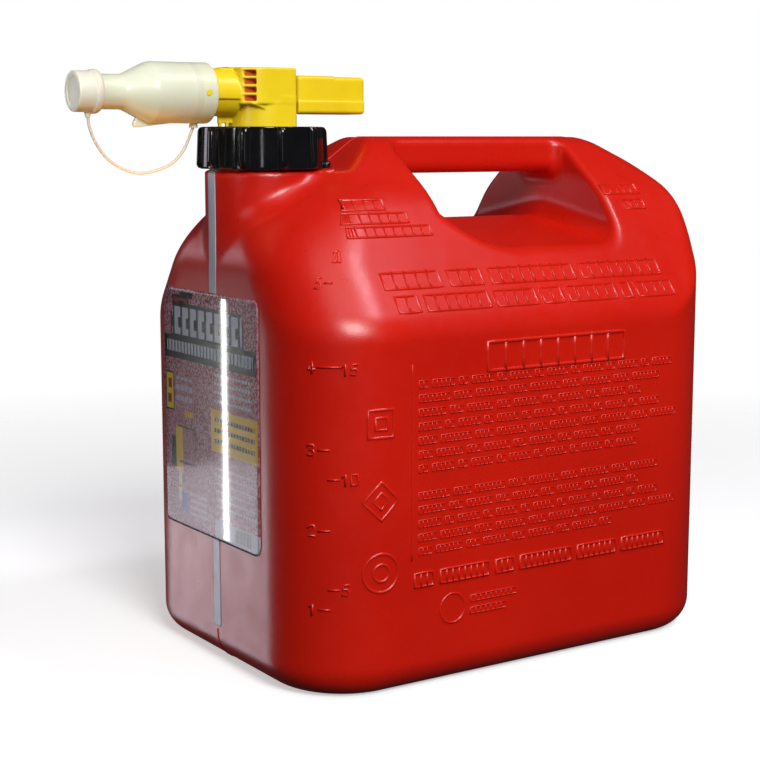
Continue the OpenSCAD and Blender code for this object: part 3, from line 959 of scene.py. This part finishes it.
# ---------------------------------------------------------------- nozzle body
# The yellow moulding that everything else on the nozzle fits into: a flange under the collar, an upright
# socket, a square valve box with cored slots at the front, and a barrel that carries the spout.
nozzle_low, nozzle_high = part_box("nozzle_body")
axis_z = 369.0
socket_radius = 22.1
box_front = -154.5
box_back = -118.0
box_half = 22.0
box_low = 362.0
box_high = 385.0
barrel_radius = 14.5
barrel_end = -187.0
button_low = 356.5
button_high = 381.0
flange_low = rim_z + 1.8
flange_high = rim_z + 4.8
flange_radius = 33.4
sleeve_radius = 16.3
sleeve_end = -170.0
barrel_bore = 10.5
plug_x = -157.0
slot_count = 4
slot_first = 4.9
slot_pitch = 5.15
slot_height = 3.6


def slab(x, y, z, low, high, r):
    """Distance to a box with edges rounded to r."""
    parts = []
    for value, a, b in zip((x, y, z), low, high):
        parts.append(np.abs(value - (a + b) / 2) - (b - a) / 2 + r)
    outside = np.sqrt(sum(np.maximum(p, 0) ** 2 for p in parts))
    return outside + np.minimum(np.maximum(np.maximum(parts[0], parts[1]), parts[2]), 0) - r


def rod_x(x, y, z, a, b, r):
    """Distance to a round rod along X on the spout's line, from a to b."""
    return np.maximum(np.hypot(y, z - axis_z) - r, np.maximum(a - x, x - b))


def post(x, y, z, cx, cy, r, a, b):
    """Distance to an upright round post."""
    return np.maximum(np.hypot(x - cx, y - cy) - r, np.maximum(a - z, z - b))


def nozzle_skin(x, y, z):
    """Distance to the yellow moulding: the socket, flange, box and barrel, then their slots and bores."""
    side = np.abs(y)
    solid = round_cut(np.hypot(x - neck_x, y) - socket_radius,
                      np.maximum(z - box_low - 2.0, flange_low - z), 0.4)
    block = slab(x, y, z, (neck_x, -box_half, 340.0), (box_back, box_half, box_low + 6.0), 1.3)
    solid = np.minimum(solid, np.maximum(block, flange_low - z))
    flange = post(x, y, z, neck_x, 0.0, flange_radius, flange_low, flange_high)
    solid = round_join(solid, flange, 1.0)
    box = slab(x, y, z, (box_front, -box_half, box_low), (box_back, box_half, box_high), 1.3)
    box = round_cut(box, -0.537 * x + 0.843 * side - 96.0, 1.6)
    wedge = np.maximum(np.maximum(side - box_half + 1.5, -149.0 - x),
                       np.maximum(z - box_low - 1.0, (box_low - z) * 0.95 - (x + 147.5) * 0.42))
    wedge = np.maximum(wedge, x + 128.0)
    solid = round_join(np.minimum(solid, wedge), box, 0.6)
    upper = np.maximum(rod_x(x, y, z, sleeve_end, box_front + 2, barrel_radius + 1.0), 365.3 - z)
    barrel = np.minimum(upper, rod_x(x, y, z, barrel_end, box_front + 2, barrel_radius - 0.3))
    sleeve = rod_x(x, y, z, barrel_end, sleeve_end, sleeve_radius)
    solid = round_join(solid, np.minimum(barrel, sleeve), 0.9)
    saddle = slab(x, y, z, (-163.0, -5.5, 372.0), (box_front + 4.0, 5.5, 384.6), 1.6)
    solid = round_join(solid, saddle, 1.6)
    solid = np.minimum(solid, post(x, y, z, plug_x, 0.0, 4.2, axis_z, 384.3))
    for rib in (-161.5, -156.5):
        solid = np.minimum(solid, slab(x, y, z, (rib - 0.9, -1.2, 346.5), (rib + 0.9, 1.2, 358.0), 0.4))
    solid = np.minimum(solid, slab(x, y, z, (-163.0, -1.0, 350.5), (-150.0, 1.0, 360.0), 0.4))
    for slot in range(slot_count):
        low = axis_z - slot_first + slot * slot_pitch
        cored = slab(x, side, z, (-162.0, 15.9, low), (-144.6, 20.3, low + slot_height), 0.3)
        solid = round_cut(solid, -cored, 0.25)
    pocket = slab(x, y, z, (-122.0, -13.4, button_low - 0.6), (-92.0, 13.4, button_high + 0.6), 0.6)
    solid = np.maximum(solid, -pocket)
    return np.maximum(solid, -rod_x(x, y, z, barrel_end - 4.0, box_front, barrel_bore))


nozzle_step = 0.62
nozzle = net_mesh("nozzle_moulding", nozzle_skin, (-188, -34, 342), (-96, 34, 386), nozzle_step)
yellow = (0.93, 0.70, 0.012)
deep_yellow = (0.88, 0.62, 0.008)
worn_yellow = (0.92, 0.72, 0.08)
yellow_plastic, yellow_shader = moulded("yellow_plastic", yellow, deep_yellow, worn_yellow,
                                        gloss=(0.30, 0.42), clouds=35.0, grain=1700.0, bump=0.05, rub=0.35)
yellow_shader.inputs["Subsurface Weight"].default_value = 0.15
yellow_shader.inputs["Subsurface Radius"].default_value = (1.0, 0.6, 0.1)
yellow_shader.inputs["Subsurface Scale"].default_value = 0.002
yellow_nodes, yellow_links = yellow_plastic.node_tree.nodes, yellow_plastic.node_tree.links
# The floors of the cored slots are painted red-orange. This is painted light and shade: it stands for the
# light that comes through the plastic into the slots and the shade down in them.
painted_slot_light_mask = None
for near, far in ((0.0208, 0.0158), (-0.0158, -0.0208)):
    slots = yellow_nodes.new("ShaderNodeGroup")
    slots.node_tree = printed_block
    for label, value in (("Left", near), ("Right", far), ("Low", 0.3638), ("High", 0.3838)):
        slots.inputs[label].default_value = value
    if painted_slot_light_mask is None:
        painted_slot_light_mask = slots.outputs["Mask"]
    else:
        either = yellow_nodes.new("ShaderNodeMath")
        either.operation = "MAXIMUM"
        yellow_links.new(painted_slot_light_mask, either.inputs[0])
        yellow_links.new(slots.outputs["Mask"], either.inputs[1])
        painted_slot_light_mask = either.outputs[0]
slot_place = yellow_nodes.new("ShaderNodeSeparateXYZ")
yellow_links.new(yellow_nodes.new("ShaderNodeTexCoord").outputs["Object"], slot_place.inputs[0])
slot_side = yellow_nodes.new("ShaderNodeMath")
slot_side.operation = "ABSOLUTE"
yellow_links.new(slot_place.outputs["Y"], slot_side.inputs[0])
slot_depth = yellow_nodes.new("ShaderNodeCombineXYZ")
yellow_links.new(slot_place.outputs["X"], slot_depth.inputs["X"])
yellow_links.new(slot_side.outputs[0], slot_depth.inputs["Y"])
slot_dot = yellow_nodes.new("ShaderNodeVectorMath")
slot_dot.operation = "DOT_PRODUCT"
slot_dot.inputs[1].default_value = (-0.537, 0.843, 0.0)
yellow_links.new(slot_depth.outputs[0], slot_dot.inputs[0])
slot_deep = remap(yellow_nodes, yellow_links, slot_dot.outputs["Value"], 0.0955, 0.0948, 0.0, 1.0)
slot_front = remap(yellow_nodes, yellow_links, slot_place.outputs["X"], -0.1436, -0.1438, 0.0, 1.0)
for part in (slot_deep, slot_front):
    both = yellow_nodes.new("ShaderNodeMath")
    both.operation = "MULTIPLY"
    yellow_links.new(painted_slot_light_mask, both.inputs[0])
    yellow_links.new(part, both.inputs[1])
    painted_slot_light_mask = both.outputs[0]
slot_painted_light = blend_colours(yellow_nodes, yellow_links, painted_slot_light_mask, yellow_nodes["Group"].outputs["Colour"],
                     (0.62, 0.10, 0.01))
yellow_links.new(slot_painted_light, yellow_shader.inputs["Base Color"])
finish_as(nozzle, yellow_plastic)
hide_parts("nozzle_body")
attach(nozzle, "nozzle")

# Two round snap bosses hold the spout on the barrel. They show as small yellow discs in its sides.
boss_x = -178.0
boss_profile = rounded([(0.0, 14.0), (2.0, 14.0), (2.0, 18.95), (0.0, 18.95)], 0.25)
for side, label in ((-1, "near"), (1, "far")):
    boss = lathe("spout_snap_" + label, boss_profile, 32)
    boss.rotation_euler = (-side * math.pi / 2, 0.0, 0.0)
    boss.location = (boss_x * 0.001, 0.0, axis_z * 0.001)
    finish_as(boss, yellow_plastic)
    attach(boss, "nozzle")

# ---------------------------------------------------------------- collar
# The gloss black screw collar, moulded with ten upright grip ribs, an inside thread and one locking lug.
collar_low = 322.0
collar_high = 348.4
collar_foot = 40.0
collar_head = 38.8
rib_count = 10
rib_phase = math.radians(8)
rib_rise = 2.3
rib_half_angle = math.radians(4.6)


def collar_ribs(a, r, h):
    """How far a grip rib stands out at this angle and height of the collar's outside."""
    if r < 37.6 or not collar_low + 0.2 < h < collar_high - 0.2:
        return 0.0
    turn = (a - rib_phase) % (2 * math.pi / rib_count)
    turn = min(turn, 2 * math.pi / rib_count - turn)
    bump = max(0.0, 1.0 - (turn / rib_half_angle) ** 2) ** 0.5
    valley = 0.35 * math.exp(-((turn - rib_half_angle * 1.25) / (rib_half_angle * 0.45)) ** 2)
    fade = min(1.0, (h - collar_low) / 2.2, (collar_high - h) / 2.6) ** 0.5
    return (rib_rise * bump - valley) * fade


collar_bore = 36.9
collar_seat = 346.0
collar_mouth = socket_radius + 0.5
collar_outline = [(collar_bore, collar_low), (collar_foot, collar_low, 1.2)]
collar_outline += [(collar_foot + (collar_head - collar_foot) * t,
                    collar_low + (collar_high - collar_low) * t, 0.0)
                   for t in (0.06, 0.1, 0.2, 0.35, 0.5, 0.65, 0.8, 0.88, 0.93)]
collar_outline += [(collar_head, collar_high, 1.7), (collar_mouth, collar_high, 0.5),
                   (collar_mouth, collar_seat), (collar_bore, collar_seat)]
collar = lathe("screw_collar", rounded(collar_outline, 0.4), 720, centre=(neck_x, 0, 0), swell=collar_ribs)
black_plastic = moulded("black_collar_plastic", (0.006, 0.006, 0.007), (0.004, 0.004, 0.005),
                        (0.02, 0.02, 0.022), gloss=(0.07, 0.15), clouds=50.0, grain=1400.0, bump=0.03)[0]
finish_as(collar, black_plastic)
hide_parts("collar")
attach(collar, "collar")

collar_thread = swept("screw_collar_thread", [thread_ring(a, h - 3.0, 37.3, 34.6) for a, h in thread_line])
collar_thread.data.flip_normals()
finish_as(collar_thread, black_plastic)
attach(collar_thread, "collar")

lug_angle = math.radians(-38)
lug_out = np.array([math.cos(lug_angle), math.sin(lug_angle), 0.0])
lug_side = np.array([-math.sin(lug_angle), math.cos(lug_angle), 0.0])
lug_base = np.array([neck_x, 0.0, collar_low])
lug_rim = [(38.0, 0.3), (43.0, 0.3), (43.8, 1.0), (43.8, 3.6), (43.0, 4.5), (38.0, 5.6)]
lug = swept("screw_collar_lug", [[lug_base + lug_out * r + np.array([0, 0, h]) + lug_side * s
                                  for r, h in lug_rim] for s in (-2.4, 2.4)])
finish_as(lug, black_plastic)
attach(lug, "collar")

# ---------------------------------------------------------------- vent plug, seals and inner pieces
# A push-in plug closes the vent drilling on top of the barrel. Its dark brown colour is painted shade: the
# shade on the front of the small hump there. Behind the spout sit a grey seal ring, the white valve seat, the
# rubber stem gland and the fine tube that lets air in. All are pressed in.
plug_painted_shade = moulded("vent_plug_painted_shade", (0.055, 0.018, 0.008), (0.03, 0.01, 0.005), (0.09, 0.04, 0.02),
                gloss=(0.35, 0.5), clouds=80.0)[0]
plug_profile = [(0.0, 382.2), (3.3, 382.2), (3.3, 384.6), (2.7, 385.2), (0.0, 385.4)]
plug = lathe("vent_plug", rounded(plug_profile, 0.35), 48, centre=(plug_x, 0, 0))
finish_as(plug, plug_painted_shade)
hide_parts("barrel_plug")
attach(plug, "nozzle")

grey_rubber = moulded("grey_seal_rubber", (0.10, 0.10, 0.11), (0.07, 0.07, 0.08), (0.16, 0.16, 0.16),
                      gloss=(0.5, 0.7), clouds=90.0)[0]
dress("barrel_seal", grey_rubber)
dress("stem_gland", rubber)
white, white_shader = moulded("white_moulding", (0.80, 0.79, 0.74), (0.72, 0.71, 0.66), (0.88, 0.88, 0.85),
                              gloss=(0.30, 0.42), clouds=60.0)
white_shader.inputs["Subsurface Weight"].default_value = 0.2
white_shader.inputs["Subsurface Scale"].default_value = 0.002
dress("valve_seat", white)
vent_plastic = moulded("vent_tube_plastic", (0.72, 0.66, 0.44), (0.62, 0.56, 0.36), (0.8, 0.76, 0.6),
                       gloss=(0.25, 0.35), clouds=90.0)[0]
dress("vent_tube", vent_plastic)

# ---------------------------------------------------------------- spout
# A milky cream moulding that snaps over the barrel: a wide sleeve, a cone and a narrow tip. A thin hook hangs
# under it, which catches on the rim of a fuel tank, and the grey seal shows faintly through its wall.
spout_reach = 257.0
spout_end = -171.5
spout_radius = 18.7
tip_radius = 10.6


def spout_profile():
    """The spout's outline as (radius, X): down its outside from the tip, then back along its bore."""
    outer = [(tip_radius, -spout_reach, 0.8), (tip_radius, -229.0, 3.0), (12.2, -225.5, 1.5),
             (spout_radius - 1.2, -214.2, 1.5), (spout_radius, -211.0, 2.0), (spout_radius, -190.0, 0.0),
             (spout_radius + 0.12, spout_end + 0.2, 1.2)]
    inner = [(16.5, spout_end, 0.4), (16.5, -212.0, 2.0), (9.8, -225.0, 2.0), (8.4, -227.0, 1.0),
             (8.4, -spout_reach, 0.4)]
    return rounded(outer + inner, 0.5, 6)


spout = lathe("pouring_spout", spout_profile(), 128, axis="X", centre=(0, 0, axis_z))
cream, cream_shader = moulded("cream_spout_plastic", (0.78, 0.80, 0.63), (0.72, 0.73, 0.54),
                              (0.85, 0.86, 0.74), gloss=(0.30, 0.42), clouds=26.0, grain=1800.0, bump=0.04)
cream_nodes, cream_links = cream.node_tree.nodes, cream.node_tree.links
seal_place = cream_nodes.new("ShaderNodeSeparateXYZ")
cream_links.new(cream_nodes.new("ShaderNodeTexCoord").outputs["Object"], seal_place.inputs[0])
seal_near = cream_nodes.new("ShaderNodeMath")
seal_near.operation = "COMPARE"
cream_links.new(seal_place.outputs["X"], seal_near.inputs[0])
seal_near.inputs[1].default_value = -0.1835
seal_near.inputs[2].default_value = 0.0022
skin_colour = cream_nodes["Group"].outputs["Colour"]
sleeve_mask = remap(cream_nodes, cream_links, seal_place.outputs["X"], -0.191, -0.184, 0.0, 0.25)
cream_tint = blend_colours(cream_nodes, cream_links, sleeve_mask, skin_colour, (0.88, 0.84, 0.55))
seal_mask = remap(cream_nodes, cream_links, seal_near.outputs[0], 0.0, 1.0, 0.0, 0.16)
cream_tint = blend_colours(cream_nodes, cream_links, seal_mask, cream_tint, (0.42, 0.42, 0.40))
cream_links.new(cream_tint, cream_shader.inputs["Base Color"])
cream_shader.inputs["Subsurface Weight"].default_value = 0.45
cream_shader.inputs["Subsurface Radius"].default_value = (1.0, 0.8, 0.45)
cream_shader.inputs["Subsurface Scale"].default_value = 0.004
finish_as(spout, cream)
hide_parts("spout")
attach(spout, "nozzle")

hook_rim = [(-195.0, 353.5), (-197.5, 350.2), (-205.0, 349.4), (-217.5, 347.9), (-220.2, 347.8),
            (-221.3, 349.0), (-221.0, 350.8), (-217.2, 356.5), (-216.0, 361.0), (-200.0, 356.0)]
hook = swept("spout_hook", [[(x, y, z) for x, z in hook_rim] for y in (-1.5, 1.5)])
hook_edge = hook.modifiers.new("edge", "BEVEL")
hook_edge.width = 0.0005
hook_edge.segments = 3
finish_as(hook, cream)
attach(hook, "nozzle")

eye_stub = lathe("spout_eye_stub", rounded([(0.0, 349.0), (2.5, 349.0), (2.9, 353.5), (0.0, 353.5)], 0.3), 40,
                 centre=(-180.0, 0, 0))
finish_as(eye_stub, cream)
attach(eye_stub, "nozzle")

# ---------------------------------------------------------------- tether eye
# A small moulded eye under the rear of the spout. The end of the tether is pinched in its hole.
eye = lathe("tether_eye", rounded([(0.95, 347.6), (2.8, 347.6), (2.8, 349.2), (0.95, 349.2)], 0.3), 48,
            centre=(-180.0, 0, 0))
finish_as(eye, cream)
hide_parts("tether_ring")
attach(eye, "nozzle")

# ---------------------------------------------------------------- valve, stem and spring
# A bright steel rod runs from the button through the box to the valve disc at the barrel's mouth. A spring
# clip holds the disc, a rubber washer seals it, and a coil spring inside the button closes it again.
steel = bpy.data.materials.new("bright_steel")
steel.use_nodes = True
steel_nodes, steel_links = steel.node_tree.nodes, steel.node_tree.links
steel_shader = steel_nodes["Principled BSDF"]
steel_shader.inputs["Metallic"].default_value = 1.0
steel_place = steel_nodes.new("ShaderNodeTexCoord").outputs["Object"]
drawn = noise(steel_nodes, steel_links, steel_place, 700.0, 4.0)
drawn_mask = remap(steel_nodes, steel_links, drawn, 0.3, 0.7, 0.0, 1.0)
steel_links.new(blend_colours(steel_nodes, steel_links, drawn_mask, (0.56, 0.56, 0.58), (0.42, 0.42, 0.44)),
                steel_shader.inputs["Base Color"])
steel_links.new(remap(steel_nodes, steel_links, drawn, 0.3, 0.7, 0.22, 0.4), steel_shader.inputs["Roughness"])
for node in ("valve_stem", "poppet_clip", "spring_washer"):
    dress(node, steel)
dress("poppet", white)
dress("poppet_seal", rubber)

spring_turns = 7
turn_steps = 24
wire_steps = 10
spring_start = -121.0
spring_run = 43.8
spring_radius = 5.6
wire_radius = 0.7
spring_sections = []
for i in range(spring_turns * turn_steps + 1):
    a = i * 2 * math.pi / turn_steps
    x = spring_start + spring_run * i / (spring_turns * turn_steps)
    ring = []
    for j in range(wire_steps):
        b = j * 2 * math.pi / wire_steps
        r = spring_radius + wire_radius * math.cos(b)
        ring.append((x + wire_radius * math.sin(b), r * math.cos(a), axis_z + r * math.sin(a)))
    spring_sections.append(ring)
spring = swept("button_spring", spring_sections)
finish_as(spring, steel)
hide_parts("return_spring")
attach(spring, "nozzle")
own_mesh(spring)

# ---------------------------------------------------------------- thumb button
# A long hollow yellow moulding that slides into the back of the valve box. The lower half is a little wider
# than the upper one, and its end is rounded for the thumb.
button_front = -111.0
button_back = -60.0
button_half = 12.3
upper_half = button_half - 0.9
upper_low = 362.0


def button_skin(x, y, z):
    """Distance to the button: two stacked bars, the upper one higher at the front, bored from the front."""
    lower = slab(x, y, z, (button_front, -button_half, button_low), (button_back, button_half, 365.0), 1.0)
    upper = slab(x, y, z, (button_front, -upper_half, upper_low), (button_back, upper_half, 380.4), 2.6)
    front_top = slab(x, y, z, (button_front, -upper_half, upper_low), (-81.0, upper_half, button_high), 2.6)
    solid = np.minimum(lower, np.minimum(upper, front_top))
    end = slab(x, y, z, (button_front - 9.0, -button_half, button_low),
               (button_back, button_half, button_high), 2.8)
    solid = round_cut(solid, end, 0.3)
    return np.maximum(solid, -rod_x(x, y, z, button_front - 4.0, -77.5, 8.0))


button_step = 0.6
button = net_mesh("thumb_button_moulding", button_skin, (button_front, -13, button_low),
                  (button_back, 13, button_high), button_step)
finish_as(button, yellow_plastic)
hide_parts("thumb_button")
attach(button, "button")

# ---------------------------------------------------------------- dust cap
# A soft white push-on cap over the spout's tip, with a finger bead round its open edge and a shallow
# dished end.
cap_front = -260.0
cap_back = -244.0
cap_radius = 12.3
bead_radius = cap_radius + 1.0
cap_bore = tip_radius + 0.3
cap_floor = cap_front + 2.7
cap_profile = [(0.0, cap_front + 1.0), (8.6, cap_front + 1.0, 0.8), (9.3, cap_front, 0.6),
               (cap_radius, cap_front, 1.5), (cap_radius, -249.2, 0.6), (bead_radius, -248.2, 0.8),
               (bead_radius, -245.6, 0.8), (cap_radius, cap_back, 0.5), (cap_bore, cap_back, 0.4),
               (cap_bore, cap_floor, 0.4), (0.0, cap_floor)]
cap = lathe("spout_dust_cap", rounded(cap_profile, 0.3, 5), 128, axis="X", centre=(0, 0, axis_z))
cap_plastic, cap_shader = moulded("cap_plastic", (0.82, 0.79, 0.66), (0.74, 0.70, 0.56), (0.9, 0.88, 0.8),
                                  gloss=(0.30, 0.42), clouds=40.0)
cap_shader.inputs["Subsurface Weight"].default_value = 0.35
cap_shader.inputs["Subsurface Scale"].default_value = 0.003
finish_as(cap, cap_plastic)
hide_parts("dust_cap")
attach(cap, "cap")

cap_tab = lathe("cap_tether_tab", rounded([(0.0, 353.4), (1.5, 353.4), (2.2, 357.6), (0.0, 357.6)], 0.4), 40,
                centre=(tether_line[-1][0] * 1000, 0, 0))
finish_as(cap_tab, cap_plastic)
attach(cap_tab, "cap")

# ---------------------------------------------------------------- floor and lights
# A plain pale studio floor that runs off to white, with soft lamps in front and above. A low and an upper
# panel behind the spout end grey the front wall, a thin strip streaks the printed sheet, and small lamps
# pick out the near corner, the collar, the spout's tip and the red glow under the spout.
floor = make_mesh("floor", [(-6, -6, 0), (6, -6, 0), (6, 6, 0), (-6, 6, 0)], [(0, 1, 2, 3)], smooth=False)
pale, pale_shader = moulded("pale_floor", (0.93, 0.93, 0.93), (0.90, 0.90, 0.90), (0.93, 0.93, 0.93),
                            gloss=(0.55, 0.65), clouds=0.5, grain=300.0, bump=0.02, rub=0.0)
pale_nodes, pale_links = pale.node_tree.nodes, pale.node_tree.links
spread = pale_nodes.new("ShaderNodeVectorMath")
spread.operation = "LENGTH"
pale_links.new(pale_nodes.new("ShaderNodeTexCoord").outputs["Object"], spread.inputs[0])
pale_links.new(remap(pale_nodes, pale_links, spread.outputs["Value"], 0.45, 1.15, 1.0, 0.0),
               pale_shader.inputs["Alpha"])
pale_shader.inputs["Emission Color"].default_value = (1.0, 1.0, 1.0, 1.0)
pale_shader.inputs["Emission Strength"].default_value = 0.5
finish_as(floor, pale)
floor.visible_glossy = False
floor.visible_diffuse = False
floor.visible_shadow = False


def lamp(name, place, target, size, watts, colour=(1.0, 1.0, 1.0)):
    """A soft rectangular lamp, size (across, up), that faces the target. The camera doesn't see it."""
    light = bpy.data.lights.new(name, "AREA")
    light.shape = "RECTANGLE"
    light.size, light.size_y = size
    light.energy = watts
    light.color = colour
    holder = bpy.data.objects.new(name, light)
    holder.location = place
    holder.rotation_euler = (Vector(target) - Vector(place)).to_track_quat("-Z", "Y").to_euler()
    holder.visible_camera = False
    bpy.context.collection.objects.link(holder)
    return holder


lamp("key_lamp", (-0.5, -2.0, 1.5), (0.0, 0.0, 0.22), (0.9, 0.8), 48.0)
lamp("top_lamp", (-0.2, -0.9, 1.9), (0.0, 0.0, 0.25), (1.2, 0.9), 4.5)
lamp("corner_lamp", (0.42, -0.74, 1.48), (-0.115, -0.10, 0.25), (0.16, 0.26), 5.5, (0.95, 0.88, 1.0))
lamp("low_panel", (-0.575, 0.90, -0.28), (-0.168, 0.0, 0.08), (0.40, 0.42), 1.7, (0.95, 0.90, 1.0))
lamp("upper_panel", (-0.56, 0.90, 0.44), (-0.168, 0.0, 0.26), (0.36, 0.22), 0.55, (0.95, 0.90, 1.0))
lamp("strip_lamp", (-0.4405, 0.500, 0.05), (-0.168, -0.019, 0.165), (0.004, 0.27), 0.22)
lamp("collar_lamp", (-0.90, -1.34, 0.47), (-0.15, -0.035, 0.335), (0.08, 0.14), 0.16)
tip_lamp = lamp("tip_lamp", (-0.46, -0.08, 0.40), (-0.26, 0.0, 0.369), (0.06, 0.06), 0.012)
tip_lamp.data.spread = math.radians(40)
lamp("red_bounce", (-0.22, -0.01, 0.315), (-0.22, 0.0, 0.36), (0.08, 0.03), 0.016, (1.0, 0.45, 0.06))

world = bpy.data.worlds.new("studio")
bpy.context.scene.world = world
world.use_nodes = True
world_nodes, world_links = world.node_tree.nodes, world.node_tree.links
seen = world_nodes["Background"]
seen.inputs["Color"].default_value = (1.0, 1.0, 1.0, 1.0)
seen.inputs["Strength"].default_value = 1.0
room = world_nodes.new("ShaderNodeBackground")
room.inputs["Color"].default_value = (0.9, 0.93, 1.0, 1.0)
room.inputs["Strength"].default_value = 0.03
chooser = world_nodes.new("ShaderNodeMixShader")
world_links.new(world_nodes.new("ShaderNodeLightPath").outputs["Is Camera Ray"], chooser.inputs[0])
world_links.new(room.outputs[0], chooser.inputs[1])
world_links.new(seen.outputs[0], chooser.inputs[2])
world_links.new(chooser.outputs[0], world_nodes["World Output"].inputs["Surface"])
bpy.context.scene.view_settings.view_transform = "Standard"
